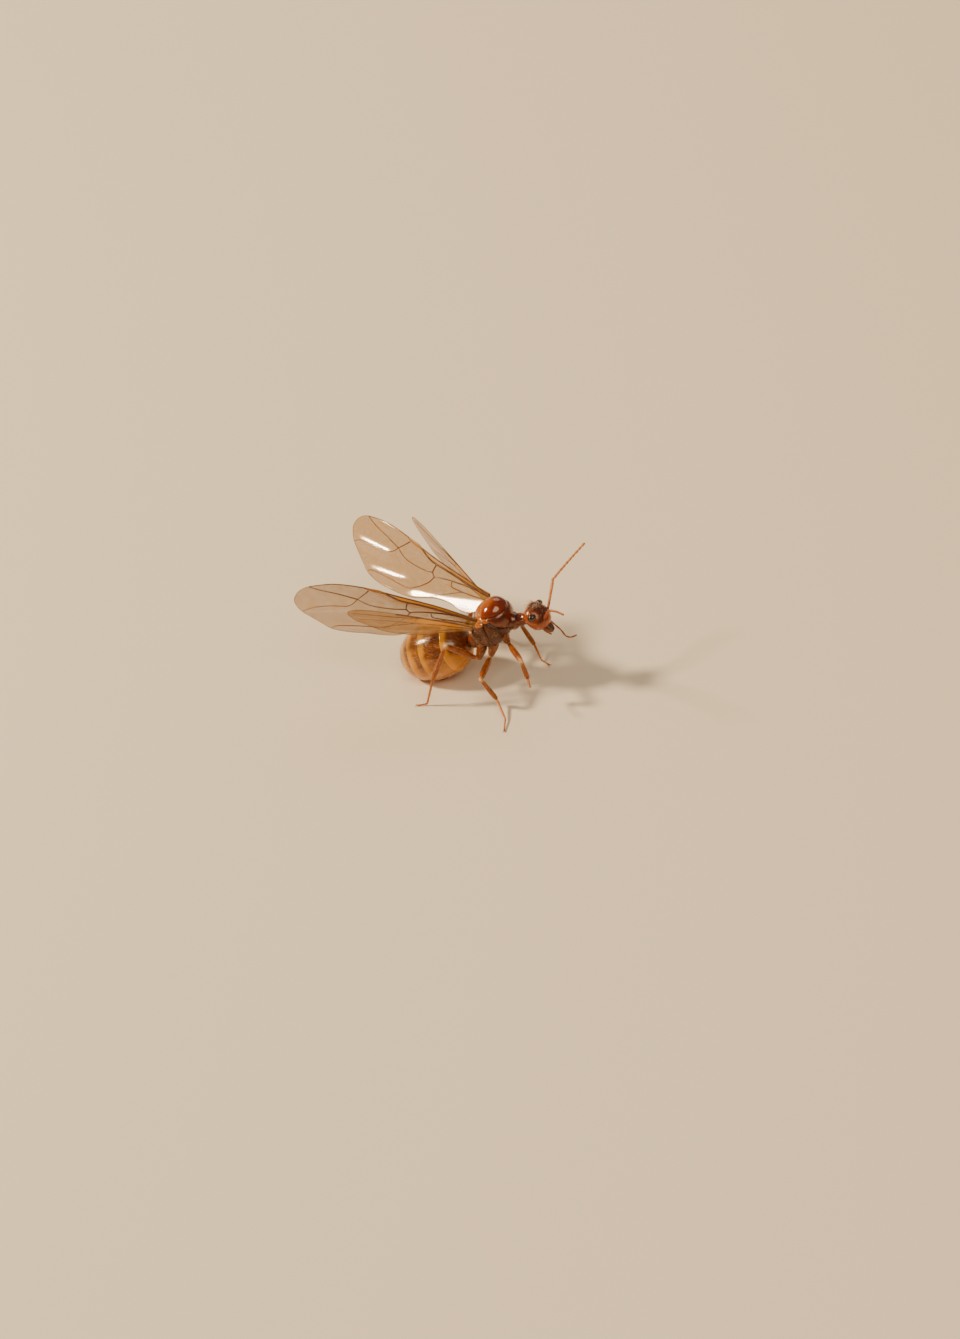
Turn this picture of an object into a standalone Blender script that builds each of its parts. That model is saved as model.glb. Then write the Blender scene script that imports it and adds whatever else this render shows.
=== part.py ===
"""A winged queen ant, life size, standing with one front foot lifted.

Metres, +Z up, the head towards +X.  Sizes below are millimetres, because the
whole insect is about 8 mm long; MM turns them into metres.  The part's origin
is on the floor, under the middle of its bounding box.
"""

import math

import bmesh
import bpy
from mathutils import Matrix, Vector

MM = 0.001
GAP = 0.03            # joint gap between touching pieces

# --- attitude of the body -------------------------------------------------------
TRUNK_CENTRE = (-0.02, 0.0, 3.30)
TRUNK_PITCH = -28.0   # tall and short, its crown leaning forward
TRUNK_LENGTH = 1.87
TRUNK_WIDTH = 2.08
TRUNK_UP = 1.31       # centre to the top of the back
TRUNK_DOWN = 1.33     # centre to the breast

HEAD_CENTRE = (2.22, 0.0, 3.78)
HEAD_PITCH = -40.0    # the face looks forward and up, the jaws down
HEAD_LENGTH = 1.36
HEAD_WIDTH = 1.44
HEAD_UP = 0.54
HEAD_DOWN = 0.5
NECK_LINE = ((0.75, 0, 3.38), (1.3, 0, 3.50), (1.9, 0, 3.66))
NECK_RADII = (0.48, 0.44, 0.38, 0.34, 0.32)    # a collar, narrowing to the head

GASTER_CENTRE = (-3.10, 0.0, 1.36)
GASTER_PITCH = 21.0
GASTER_LENGTH = 3.76
GASTER_WIDTH = 2.80
GASTER_HEIGHT = 2.72
GASTER_FLOOR = 0.0    # its lowest point rests on a small flat
GASTER_SPLITS = (0.50, -0.12, -0.49, -0.78)   # rear edges of the plates, in half lengths

PETIOLE_PLACE = (-1.14, 0, 2.20)
PETIOLE_PITCH = 20.0
PETIOLE_TOP = 0.46    # centre to the crest
PETIOLE_SIZE = (0.6, 0.62, 0.95)

EYE_PLACE = (-0.22, 0.57, 0.2)    # in the head's own axes
EYE_SIZE = (0.36, 0.2, 0.44)
EYE_TURN = 18.0
OCELLI = {"front": (-0.18, 0.0), "left": (-0.42, 0.17), "right": (-0.42, -0.17)}
OCELLUS_RADIUS = 0.085
JAW_PLACE = (0.72, 0.205, -0.1)
JAW_TURN = 7.0        # the tips close towards each other
JAW_SIZE = (0.84, 0.34, 0.30)

# --- limbs, in the ant's axes: coxa top, coxa end, knee, ankle, ball of the foot, toe ---
LEG_RADIUS = {"coxa": 0.29, "femur": 0.27, "tibia": 0.25, "tarsus": 0.25}
TOE = 0.2             # height of a standing foot's axis, so its underside is cut flat
LEGS = {
    "leg_front_right": ((0.45, -0.30, 3.05), (0.81, -0.62, 2.56), (1.86, -2.00, 2.63),
                        (1.96, -1.85, 1.52), (2.18, -2.30, 1.56), (2.41, -2.80, 1.75)),
    "leg_mid_right": ((0.05, -0.38, 2.45), (-0.14, -0.70, 1.81), (-0.12, -2.50, 1.77),
                      (0.38, -2.24, 0.50), (1.09, -3.28, TOE + 0.05), (1.25, -4.05, TOE)),
    "leg_hind_right": ((-0.55, -0.38, 2.25), (-0.78, -0.72, 1.58), (-1.74, -2.08, 3.30),
                       (-2.55, -2.42, 1.50), (-3.02, -2.49, TOE + 0.02), (-3.49, -2.58, TOE)),
    "leg_front_left": ((0.45, 0.30, 3.05), (0.81, 0.62, 2.56), (0.50, 1.80, 2.05),
                       (1.00, 2.00, 0.56), (1.49, 1.35, TOE + 0.04), (1.92, 1.13, TOE)),
    "leg_mid_left": ((0.05, 0.38, 2.45), (-0.14, 0.70, 1.81), (-0.45, 2.45, 2.10),
                     (-0.60, 2.42, 0.62), (-0.88, 3.06, TOE + 0.04), (-1.20, 3.75, TOE)),
    "leg_hind_left": ((-0.55, 0.38, 2.25), (-0.78, 0.72, 1.58), (-1.80, 2.28, 2.50),
                      (-2.50, 2.66, 0.86), (-3.12, 2.86, TOE + 0.04), (-3.86, 3.05, TOE)),
}

FEELER_RADIUS = 0.25
SCAPE_RADII = (0.25, 0.25, 0.26, 0.27)
ANTENNAE = {                      # base in the head, elbow, middle, tip
    "left": ((2.66, 0.30, 3.86), (2.74, 1.45, 4.88), (3.10, 2.62, 5.00), (3.62, 3.72, 5.28)),
    "right": ((2.66, -0.30, 3.86), (3.33, -1.15, 5.02), (4.03, -2.02, 5.66), (4.68, -2.88, 6.18)),
}
PALPS = {
    "left": ((2.40, 0.40, 3.45), (2.62, 0.45, 3.24), (2.84, 0.49, 2.95), (3.09, 0.49, 2.66),
             (3.28, 0.49, 2.34), (3.51, 0.50, 2.26), (3.83, 0.50, 2.41)),
    "right": ((2.30, -0.42, 3.32), (2.46, -0.53, 3.12), (2.66, -0.56, 2.96)),
}

# --- wings ----------------------------------------------------------------------
WING_THICKNESS = 0.5
FOREWING_LENGTH = 8.9
HINDWING_LENGTH = 5.9
# outline as fractions of the length: along the wing, then towards the front edge
FOREWING_OUTLINE = ((0.0, 0.02), (0.15, 0.055), (0.30, 0.09), (0.45, 0.116), (0.60, 0.14),
                    (0.75, 0.143), (0.88, 0.115), (0.96, 0.072), (1.0, 0.0), (0.965, -0.065),
                    (0.86, -0.134), (0.75, -0.174), (0.62, -0.17), (0.45, -0.142),
                    (0.32, -0.095), (0.16, -0.045), (0.0, -0.035))
HINDWING_OUTLINE = ((0.0, 0.02), (0.20, 0.035), (0.50, 0.05), (0.80, 0.055), (0.95, 0.035),
                    (1.0, 0.0), (0.95, -0.06), (0.80, -0.125), (0.60, -0.165), (0.40, -0.15),
                    (0.20, -0.08), (0.0, -0.03))
# root, direction of the tip (spread from the body line, then rise), roll (0 lies flat with
# its front edge outwards, 90 stands with its front edge up) and sideways bend of the blade
WINGS = {
    "forewing_left": ((-0.33, 0.84, 4.06), 26.8, 5.2, 60.0, -0.047),
    "forewing_right": ((-0.49, -0.75, 3.81), 2.4, 6.0, 88.0, 0.0),
    "hindwing_left": ((-0.42, 1.17, 3.34), 32.5, 28.5, 97.0, 0.0),
    "hindwing_right": ((-0.68, -0.95, 3.56), 15.0, 16.0, 80.0, 0.0),
}
TEGULA_PLACE = (-0.02, 0.92, 4.00)
TEGULA_RADIUS = 0.2

COLOURS = {                       # base colour, roughness
    "head_shell": ((0.16, 0.03, 0.008), 0.3),
    "eye_black": ((0.01, 0.003, 0.003), 0.1),
    "back_shell": ((0.29, 0.07, 0.015), 0.2),
    "side_shell": ((0.07, 0.018, 0.006), 0.35),
    "gaster_shell": ((0.40, 0.19, 0.04), 0.3),
    "leg_amber": ((0.34, 0.11, 0.02), 0.3),
    "feeler_amber": ((0.42, 0.17, 0.07), 0.4),
    "wing_membrane": ((0.62, 0.42, 0.22), 0.15),
}

for old in list(bpy.data.objects):
    bpy.data.objects.remove(old)
ant = bpy.data.collections.new("winged_queen_ant")
cutters = bpy.data.collections.new("cutters")
bpy.context.scene.collection.children.link(ant)
bpy.context.scene.collection.children.link(cutters)
materials = {}


def material(name):
    if name not in materials:
        colour, roughness = COLOURS[name]
        made = bpy.data.materials.new(name)
        made.use_nodes = True
        shader = made.node_tree.nodes["Principled BSDF"]
        shader.inputs["Base Color"].default_value = (*colour, 1.0)
        shader.inputs["Roughness"].default_value = roughness
        shader.inputs["Metallic"].default_value = 0.0
        materials[name] = made
    return materials[name]


def place(centre, pitch):
    """Axes of a body region: its centre in millimetres, its front end up by pitch."""
    return Matrix.Translation(Vector(centre)) @ Matrix.Rotation(-math.radians(pitch), 4, "Y")


def piece(name, bm, finish, cutter=False):
    """Turn a bmesh in millimetres into a finished object in metres."""
    bmesh.ops.recalc_face_normals(bm, faces=bm.faces)
    bmesh.ops.scale(bm, vec=(MM, MM, MM), verts=bm.verts)
    mesh = bpy.data.meshes.new(name)
    bm.to_mesh(mesh)
    bm.free()
    obj = bpy.data.objects.new(name, mesh)
    if cutter:
        cutters.objects.link(obj)
        obj.hide_render = True
        obj.display_type = "WIRE"
        return obj
    ant.objects.link(obj)
    mesh.materials.append(material(finish))
    mesh.shade_smooth()
    mesh.set_sharp_from_angle(angle=math.radians(40))
    return obj


def loft(rings, front, back):
    """A closed skin over a row of rings, with a point at each end."""
    bm = bmesh.new()
    rows = [[bm.verts.new(point) for point in ring] for ring in rings]
    count = len(rows[0])
    for near, far in zip(rows, rows[1:]):
        for k in range(count):
            m = (k + 1) % count
            bm.faces.new((near[k], near[m], far[m], far[k]))
    for row, tip in ((rows[0], front), (rows[-1], back)):
        end = bm.verts.new(tip)
        for k in range(count):
            bm.faces.new((row[k], row[(k + 1) % count], end))
    return bm


def egg(length, width, up, down, full_front, full_rear, sides, rings, matrix, grow=0.0):
    """An egg along X.  The fullness powers make an end blunter as they rise."""
    rows = []
    for i in range(1, rings):
        t = math.cos(math.pi * i / rings)
        power = full_front if t > 0 else full_rear
        swell = math.sqrt(max(0.0, 1.0 - abs(t) ** power))
        x = t * (length / 2 + grow)
        row = []
        for k in range(sides):
            a = 2 * math.pi * k / sides
            height = up if math.sin(a) > 0 else down
            row.append(matrix @ Vector((x, swell * (width / 2 + grow) * math.cos(a),
                                        swell * (height + grow) * math.sin(a))))
        rows.append(row)
    reach = length / 2 + grow
    return loft(rows, matrix @ Vector((reach, 0, 0)), matrix @ Vector((-reach, 0, 0)))


def cut(bm, point, normal):
    """Cut off the side that the normal points to, and close the cut."""
    geometry = bm.verts[:] + bm.edges[:] + bm.faces[:]
    made = bmesh.ops.bisect_plane(bm, geom=geometry, dist=1e-6, plane_co=point,
                                  plane_no=normal, clear_outer=True)
    edges = [e for e in made["geom_cut"] if isinstance(e, bmesh.types.BMEdge)]
    bmesh.ops.holes_fill(bm, edges=edges, sides=0)


def subtract(obj, cutter):
    step = obj.modifiers.new("against_" + cutter.name, "BOOLEAN")
    step.operation = "DIFFERENCE"
    step.solver = "EXACT"
    step.object = cutter


def mitre(before, joint, after):
    """The plane through a joint that halves the bend, or squares off a free end."""
    inward = (joint - before).normalized() if before is not None else (after - joint).normalized()
    outward = (after - joint).normalized() if after is not None else inward
    return (inward + outward).normalized()


def limb(points, first, last, radii, sides=8):
    """The tube of a bent limb from points[first] to points[last], mitred at each joint.

    The radii run from its first ring to its last, spread evenly over each straight run.
    """
    joints = [Vector(p) for p in points]
    runs = last - first
    steps = (len(radii) - 1) // runs
    rows = []
    for run in range(runs):
        i = first + run
        start, end = joints[i], joints[i + 1]
        before = joints[i - 1] if i > 0 else None
        after = joints[i + 2] if i + 2 < len(joints) else None
        along = (end - start).normalized()
        side = along.cross(Vector((0, 0, 1)))
        side = side.normalized() if side.length > 0.05 else Vector((0, 1, 0))
        up = side.cross(along)
        length = (end - start).length
        planes = (mitre(before, start, end), mitre(start, end, after))
        for step in range(0 if run == 0 else 1, steps + 1):
            radius = radii[run * steps + step]
            row = []
            for k in range(sides):
                a = 2 * math.pi * (k + 0.5) / sides
                out = radius * (math.cos(a) * side + math.sin(a) * up)
                reach = length * step / steps
                if step == 0:
                    reach = GAP / 2 - planes[0].dot(out) / planes[0].dot(along)
                if step == steps:
                    gap = GAP / 2 if run == runs - 1 else 0.0
                    reach = length - gap - planes[1].dot(out) / planes[1].dot(along)
                row.append(start + along * reach + out)
            rows.append(row)
    middle = [sum(row, Vector()) / sides for row in (rows[0], rows[-1])]
    return loft(rows, middle[0], middle[1])


def tube(points, radius, sides=8):
    """A smooth bent tube with round ends."""
    joints = [Vector(p) for p in points]
    rows = []
    side = None
    for i, joint in enumerate(joints):
        before = joints[max(i - 1, 0)]
        after = joints[min(i + 1, len(joints) - 1)]
        along = (after - before).normalized()
        if side is None:
            side = along.cross(Vector((0, 0, 1))).normalized()
        side = (side - along * side.dot(along)).normalized()
        up = side.cross(along)
        ends = ((-0.55, 0.8), (0.0, 1.0)) if i == 0 else ((0.0, 1.0), (0.55, 0.8))
        steps = ends if i in (0, len(joints) - 1) else ((0.0, 1.0),)
        for shift, share in steps:
            rows.append([joint + along * shift * radius
                         + radius * share * (math.cos(a) * side + math.sin(a) * up)
                         for a in (2 * math.pi * (k + 0.5) / sides for k in range(sides))])
    first = joints[0] - (joints[1] - joints[0]).normalized() * radius * 0.9
    last = joints[-1] + (joints[-1] - joints[-2]).normalized() * radius * 0.9
    return loft(rows, first, last)


# --- trunk: one form, parted along its sutures -----------------------------------
trunk_axes = place(TRUNK_CENTRE, TRUNK_PITCH)


def trunk_form(grow=0.0):
    return egg(TRUNK_LENGTH, TRUNK_WIDTH, TRUNK_UP, TRUNK_DOWN, 2.4, 2.6, 24, 16,
               trunk_axes, grow)


def head_form(grow=0.0):
    return egg(HEAD_LENGTH, HEAD_WIDTH, HEAD_UP, HEAD_DOWN, 2.2, 2.8, 20, 12,
               place(HEAD_CENTRE, HEAD_PITCH), grow)


def gaster_form(grow=0.0):
    return egg(GASTER_LENGTH, GASTER_WIDTH, GASTER_HEIGHT / 2, GASTER_HEIGHT / 2, 2.3, 2.3,
               24, 18, place(GASTER_CENTRE, GASTER_PITCH), grow)


trunk_cutter = piece("trunk_cutter", trunk_form(GAP), None, cutter=True)
head_cutter = piece("head_cutter", head_form(GAP), None, cutter=True)
gaster_cutter = piece("gaster_cutter", gaster_form(GAP), None, cutter=True)

# suture lines in the trunk's own side view: a point and the angle of the line in degrees
BACK_SUTURE = ((-0.58, 0.44), 45.0)      # back plates above, sides below
SCUTUM_SUTURE = ((-0.73, 0.52), 133.0)    # scutum in front, scutellum behind
PRONOTUM_SUTURE = ((0.21, 0.56), 177.0) # pronotum in front, flank behind
FLANK_SUTURE = ((-0.03, -0.01), 133.0)    # flank in front, propodeum behind


def half_space(suture, keep_above):
    """Plane of a suture, moved off by half a gap, with its normal towards the waste."""
    (x, z), angle = suture
    normal = Vector((-math.sin(math.radians(angle)), 0, math.cos(math.radians(angle))))
    if keep_above:
        normal = -normal
    point = Vector((x, 0, z)) - normal * GAP / 2
    return trunk_axes @ point, trunk_axes.to_3x3() @ normal


# for a steep suture "above" is its rear side
TRUNK_PLATES = {
    "scutum": ((BACK_SUTURE, True), (SCUTUM_SUTURE, False)),
    "scutellum": ((BACK_SUTURE, True), (SCUTUM_SUTURE, True)),
    "pronotum": ((BACK_SUTURE, False), (PRONOTUM_SUTURE, False)),
    "mesopleuron": ((BACK_SUTURE, False), (PRONOTUM_SUTURE, True), (FLANK_SUTURE, False)),
    "propodeum": ((BACK_SUTURE, False), (FLANK_SUTURE, True)),
}
for plate, sides in TRUNK_PLATES.items():
    form = trunk_form()
    for suture, keep_above in sides:
        cut(form, *half_space(suture, keep_above))
    finish = "back_shell" if plate in ("scutum", "scutellum") else "side_shell"
    piece(plate, form, finish)

# --- neck: a short stalk between head and trunk -----------------------------------
neck = piece("neck", limb(NECK_LINE, 0, 2, NECK_RADII), "side_shell")
subtract(neck, trunk_cutter)
subtract(neck, head_cutter)

# --- head --------------------------------------------------------------------------
head_axes = place(HEAD_CENTRE, HEAD_PITCH)
head = piece("head", head_form(), "head_shell")


def eye_form(side, grow=0.0):
    x, y, z = EYE_PLACE
    turn = Matrix.Rotation(math.radians(EYE_TURN) * side, 4, "X")
    axes = head_axes @ Matrix.Translation((x, y * side, z)) @ turn
    length, depth, height = EYE_SIZE
    return egg(length, 2 * depth, height / 2, height / 2, 2, 2, 12, 8, axes, grow)


for label, side in (("left", 1), ("right", -1)):
    piece("eye_" + label, eye_form(side), "eye_black")
    socket = piece("socket_" + label, eye_form(side, GAP), None, cutter=True)
    subtract(head, socket)

for label, (x, y) in OCELLI.items():
    swell = math.sqrt(1 - (abs(x) / (HEAD_LENGTH / 2)) ** 2.8)
    z = HEAD_UP * swell * math.sqrt(1 - (y / (HEAD_WIDTH / 2 * swell)) ** 2)
    spot = egg(2 * OCELLUS_RADIUS, 2 * OCELLUS_RADIUS, OCELLUS_RADIUS, OCELLUS_RADIUS, 2, 2, 8, 6,
               head_axes @ Matrix.Translation((x, y, z)))
    ocellus = piece("ocellus_" + label, spot, "eye_black")
    subtract(ocellus, head_cutter)

for label, side in (("left", 1), ("right", -1)):
    x, y, z = JAW_PLACE
    jaw_axes = (head_axes @ Matrix.Translation((x, y * side, z))
                @ Matrix.Rotation(math.radians(-JAW_TURN * side), 4, "Z"))
    length, width, depth = JAW_SIZE
    form = egg(length, width, depth / 2, depth / 2, 2.2, 2.6, 10, 8, jaw_axes)
    jaw = piece("mandible_" + label, form, "head_shell")
    subtract(jaw, head_cutter)

for label, points in ANTENNAE.items():
    scape = piece("scape_" + label, limb(points, 0, 1, SCAPE_RADII), "feeler_amber")
    subtract(scape, head_cutter)
    subtract(scape, bpy.data.objects["socket_" + label])
    whip = points[1:]
    whip_form = tube(whip, FEELER_RADIUS)
    elbow = Vector(points[1])
    bend = mitre(Vector(points[0]), elbow, Vector(points[2]))
    cut(whip_form, elbow + bend * GAP / 2, -bend)
    piece("funiculus_" + label, whip_form, "feeler_amber")

for label, points in PALPS.items():
    palp = piece("palp_" + label, tube(points, FEELER_RADIUS), "feeler_amber")
    subtract(palp, head_cutter)

# --- waist and gaster ----------------------------------------------------------------
length, width, height = PETIOLE_SIZE
petiole_axes = place(PETIOLE_PLACE, PETIOLE_PITCH)
petiole = piece("petiole", egg(length, width, PETIOLE_TOP, height - PETIOLE_TOP, 3, 3, 14, 8,
                               petiole_axes), "gaster_shell")
subtract(petiole, trunk_cutter)
subtract(petiole, gaster_cutter)

gaster_axes = place(GASTER_CENTRE, GASTER_PITCH)
edges = (1.1,) + GASTER_SPLITS + (-1.1,)
for number, (front, rear) in enumerate(zip(edges, edges[1:]), start=1):
    form = gaster_form()
    forward = gaster_axes.to_3x3() @ Vector((1, 0, 0))
    half = GASTER_LENGTH / 2
    if front < 1:
        cut(form, gaster_axes @ Vector((front * half - GAP / 2, 0, 0)), forward)
    if rear > -1:
        cut(form, gaster_axes @ Vector((rear * half + GAP / 2, 0, 0)), -forward)
    if min(v.co.z for v in form.verts) < GASTER_FLOOR:
        cut(form, Vector((0, 0, GASTER_FLOOR)), Vector((0, 0, -1)))
    piece("gaster_%d" % number, form, "gaster_shell")

# --- legs ------------------------------------------------------------------------------
for leg, points in LEGS.items():
    for index, segment in enumerate(("coxa", "femur", "tibia", "tarsus")):
        r = LEG_RADIUS[segment]
        shape = {"coxa": (r, r * 1.05, r * 0.8), "femur": (r * 0.95, r * 1.15, r),
                 "tibia": (r, r, r * 1.1), "tarsus": (r, r, r, r, r)}[segment]
        last = index + 1 if segment != "tarsus" else index + 2
        form = limb(points, index, last, shape)
        if segment == "tarsus":
            cut(form, Vector((0, 0, 0)), Vector((0, 0, -1)))
        part = piece(leg + "_" + segment, form, "leg_amber")
        if segment == "coxa":
            subtract(part, trunk_cutter)

# --- wings -------------------------------------------------------------------------------


def wing_axes(root, side, spread, rise, roll):
    """X runs to the wing's tip, Y to its front edge, Z is its upper face."""
    s, e, r = (math.radians(v) for v in (spread, rise, roll))
    tip = Vector((-math.cos(s) * math.cos(e), side * math.sin(s) * math.cos(e), math.sin(e)))
    flat = Vector((0, 0, 1)).cross(tip).normalized() * -side
    up = tip.cross(flat) * -side
    edge = flat * math.cos(r) + up * math.sin(r)
    face = tip.cross(edge)
    axes = Matrix((tip, edge, face)).transposed().to_4x4()
    axes.translation = Vector(root)
    return axes


def wing_form(outline, length, axes, grow=0.0):
    curve = bpy.data.curves.new("wing_outline", "CURVE")
    curve.dimensions = "2D"
    curve.fill_mode = "BOTH"
    curve.extrude = WING_THICKNESS / 2 + grow
    curve.resolution_u = 3
    spline = curve.splines.new("BEZIER")
    spline.bezier_points.add(len(outline) - 1)
    spline.use_cyclic_u = True
    for knot, (along, across) in zip(spline.bezier_points, outline):
        knot.co = (along * length, across * length, 0)
        knot.handle_left_type = "AUTO"
        knot.handle_right_type = "AUTO"
    holder = bpy.data.objects.new("wing_outline", curve)
    cutters.objects.link(holder)
    bpy.context.view_layer.update()
    graph = bpy.context.evaluated_depsgraph_get()
    flat = bpy.data.meshes.new_from_object(holder.evaluated_get(graph))
    bpy.data.objects.remove(holder)
    bm = bmesh.new()
    bm.from_mesh(flat)
    bpy.data.meshes.remove(flat)
    bmesh.ops.remove_doubles(bm, verts=bm.verts, dist=0.001)
    bmesh.ops.transform(bm, matrix=axes, verts=bm.verts)
    return bm


for name, (root, spread, rise, roll, bend) in WINGS.items():
    kind, label = name.split("_")
    axes = wing_axes(root, 1 if label == "left" else -1, spread, rise, roll)
    if kind == "forewing":
        outline, length = FOREWING_OUTLINE, FOREWING_LENGTH
    else:
        outline, length = HINDWING_OUTLINE, HINDWING_LENGTH
    outline = [(along, across + bend * 4 * along * (1 - along)) for along, across in outline]
    wing = piece(name, wing_form(outline, length, axes), "wing_membrane")
    subtract(wing, trunk_cutter)
    if kind == "forewing":
        piece(name + "_cutter", wing_form(outline, length, axes, GAP), None, cutter=True)
    else:
        subtract(wing, bpy.data.objects["forewing_%s_cutter" % label])

for label, side in (("left", 1), ("right", -1)):
    x, y, z = TEGULA_PLACE
    cap = egg(0.5, 2 * TEGULA_RADIUS, TEGULA_RADIUS, TEGULA_RADIUS, 2, 2, 10, 6,
              Matrix.Translation((x, side * y, z)))
    tegula = piece("tegula_" + label, cap, "feeler_amber")
    subtract(tegula, trunk_cutter)

# --- the origin goes under the middle of the whole insect ---------------------------------
bpy.context.view_layer.update()
graph = bpy.context.evaluated_depsgraph_get()
low, high = Vector((1, 1, 1)), Vector((-1, -1, -1))
for obj in ant.objects:
    shape = obj.evaluated_get(graph).data
    for vertex in shape.vertices:
        for axis in range(3):
            low[axis] = min(low[axis], vertex.co[axis])
            high[axis] = max(high[axis], vertex.co[axis])
root = bpy.data.objects.new("ant_root", None)
ant.objects.link(root)
root.location = (-(low.x + high.x) / 2, -(low.y + high.y) / 2, -low.z)
for obj in list(ant.objects) + list(cutters.objects):
    if obj is not root:
        obj.parent = root
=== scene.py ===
import math

import bmesh
import bpy
from mathutils import Matrix, Vector, noise


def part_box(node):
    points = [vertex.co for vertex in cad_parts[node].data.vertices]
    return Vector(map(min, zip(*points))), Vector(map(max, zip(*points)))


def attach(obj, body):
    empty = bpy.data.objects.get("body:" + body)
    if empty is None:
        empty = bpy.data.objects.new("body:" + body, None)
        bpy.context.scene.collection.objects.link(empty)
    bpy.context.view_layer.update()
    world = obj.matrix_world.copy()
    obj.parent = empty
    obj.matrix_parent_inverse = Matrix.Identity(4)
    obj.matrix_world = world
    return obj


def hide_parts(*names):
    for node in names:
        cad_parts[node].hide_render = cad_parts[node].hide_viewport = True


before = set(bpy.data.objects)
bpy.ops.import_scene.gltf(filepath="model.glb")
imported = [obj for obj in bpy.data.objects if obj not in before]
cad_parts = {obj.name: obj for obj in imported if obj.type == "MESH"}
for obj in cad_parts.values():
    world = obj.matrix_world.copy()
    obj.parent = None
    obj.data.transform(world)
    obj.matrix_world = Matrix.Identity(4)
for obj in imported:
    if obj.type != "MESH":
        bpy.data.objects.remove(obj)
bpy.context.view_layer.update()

# --- where the insect stands ------------------------------------------------------
# A winged queen ant, 8 mm long.  Everything here is modelled in millimetres in the
# ant's own axes (+X the way it faces, floor at zero) and set into the frame in
# metres.  The eye, which is the same in both, gives the step from one to the other.
MM = 0.001

HEAD_CENTRE = (2.22, 0.0, 3.78)
HEAD_PITCH = -40.0
EYE_PLACE = (-0.22, 0.57, 0.2)


def place(centre, pitch):
    return Matrix.Translation(Vector(centre)) @ Matrix.Rotation(-math.radians(pitch), 4, "Y")


head_axes = place(HEAD_CENTRE, HEAD_PITCH)
eye_low, eye_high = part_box("eye_left")
STEP = (eye_low + eye_high) / 2 / MM - head_axes @ Vector(EYE_PLACE)
STEP.z = 0.0
INTO_FRAME = Matrix.Scale(MM, 4) @ Matrix.Translation(STEP)

# --- camera, floor and lights --------------------------------------------------------
# A long lens looks down on the right side from a little ahead, tipped so that the
# floor rises to the right.  One broad light stands behind the tail, low, and throws
# the shadow forward; a pale floor and two fill lights do the rest.
VIEW_RISE = 36.0         # degrees above the floor
VIEW_SWING = 23.0        # degrees ahead of square-on to the right side
VIEW_TIP = 10.4
VIEW_DISTANCE = 300.0
PICTURE_HEIGHT = 62.5    # of the view, at the ant
AIM_LEFT, AIM_BELOW = 2.66, 2.50     # picture's centre from the head's centre

rise, swing, tip = (math.radians(v) for v in (VIEW_RISE, VIEW_SWING, VIEW_TIP))
towards = Vector((math.sin(swing) * math.cos(rise), -math.cos(swing) * math.cos(rise),
                  math.sin(rise)))
level = Vector((math.cos(swing), math.sin(swing), 0.0))
upright = towards.cross(level)
right = level * math.cos(tip) - upright * math.sin(tip)
top = level * math.sin(tip) + upright * math.cos(tip)
aim = Vector(HEAD_CENTRE) - right * AIM_LEFT - top * AIM_BELOW
axes = Matrix((right, top, towards)).transposed().to_4x4()
axes.translation = INTO_FRAME @ (aim + towards * VIEW_DISTANCE)
lens = bpy.data.cameras.new("camera")
lens.lens = lens.sensor_width * VIEW_DISTANCE / PICTURE_HEIGHT
lens.clip_start, lens.clip_end = 0.005, 20.0
camera = bpy.data.objects.new("camera", lens)
camera.matrix_world = axes
bpy.context.scene.collection.objects.link(camera)
bpy.context.scene.camera = camera

bpy.ops.mesh.primitive_grid_add(x_subdivisions=2, y_subdivisions=2, size=1.2)
floor = bpy.context.object
floor.name = "floor"
floor_finish = bpy.data.materials.new("pale_floor")
floor_finish.use_nodes = True
paper = floor_finish.node_tree.nodes["Principled BSDF"]
paper.inputs["Base Color"].default_value = (0.79, 0.63, 0.44, 1.0)
paper.inputs["Roughness"].default_value = 0.85
floor.data.materials.append(floor_finish)


def soft_light(name, swing_deg, rise_deg, distance, size, power, colour):
    """An area light aimed at the trunk; 0 degrees is straight ahead of the ant."""
    a, e = math.radians(swing_deg), math.radians(rise_deg)
    way = Vector((math.cos(a) * math.cos(e), math.sin(a) * math.cos(e), math.sin(e)))
    data = bpy.data.lights.new(name, "AREA")
    data.shape = "DISK"
    data.size = size * MM
    data.energy = power
    data.color = colour
    lamp = bpy.data.objects.new(name, data)
    lamp.location = INTO_FRAME @ (Vector((0, 0, 3)) + way * distance)
    lamp.rotation_euler = way.to_track_quat("Z", "Y").to_euler()
    bpy.context.scene.collection.objects.link(lamp)


soft_light("low_sun", -173.0, 40.5, 300.0, 44.0, 1.40, (1.0, 0.87, 0.66))
soft_light("near_fill", -50.0, 52.0, 260.0, 150.0, 0.30, (1.0, 0.89, 0.74))
soft_light("far_fill", 95.0, 40.0, 260.0, 150.0, 0.12, (1.0, 0.90, 0.76))
room = bpy.data.worlds.new("room")
bpy.context.scene.world = room
room.use_nodes = True
room.node_tree.nodes["Background"].inputs["Color"].default_value = (1.0, 0.88, 0.72, 1.0)
room.node_tree.nodes["Background"].inputs["Strength"].default_value = 0.26

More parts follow.
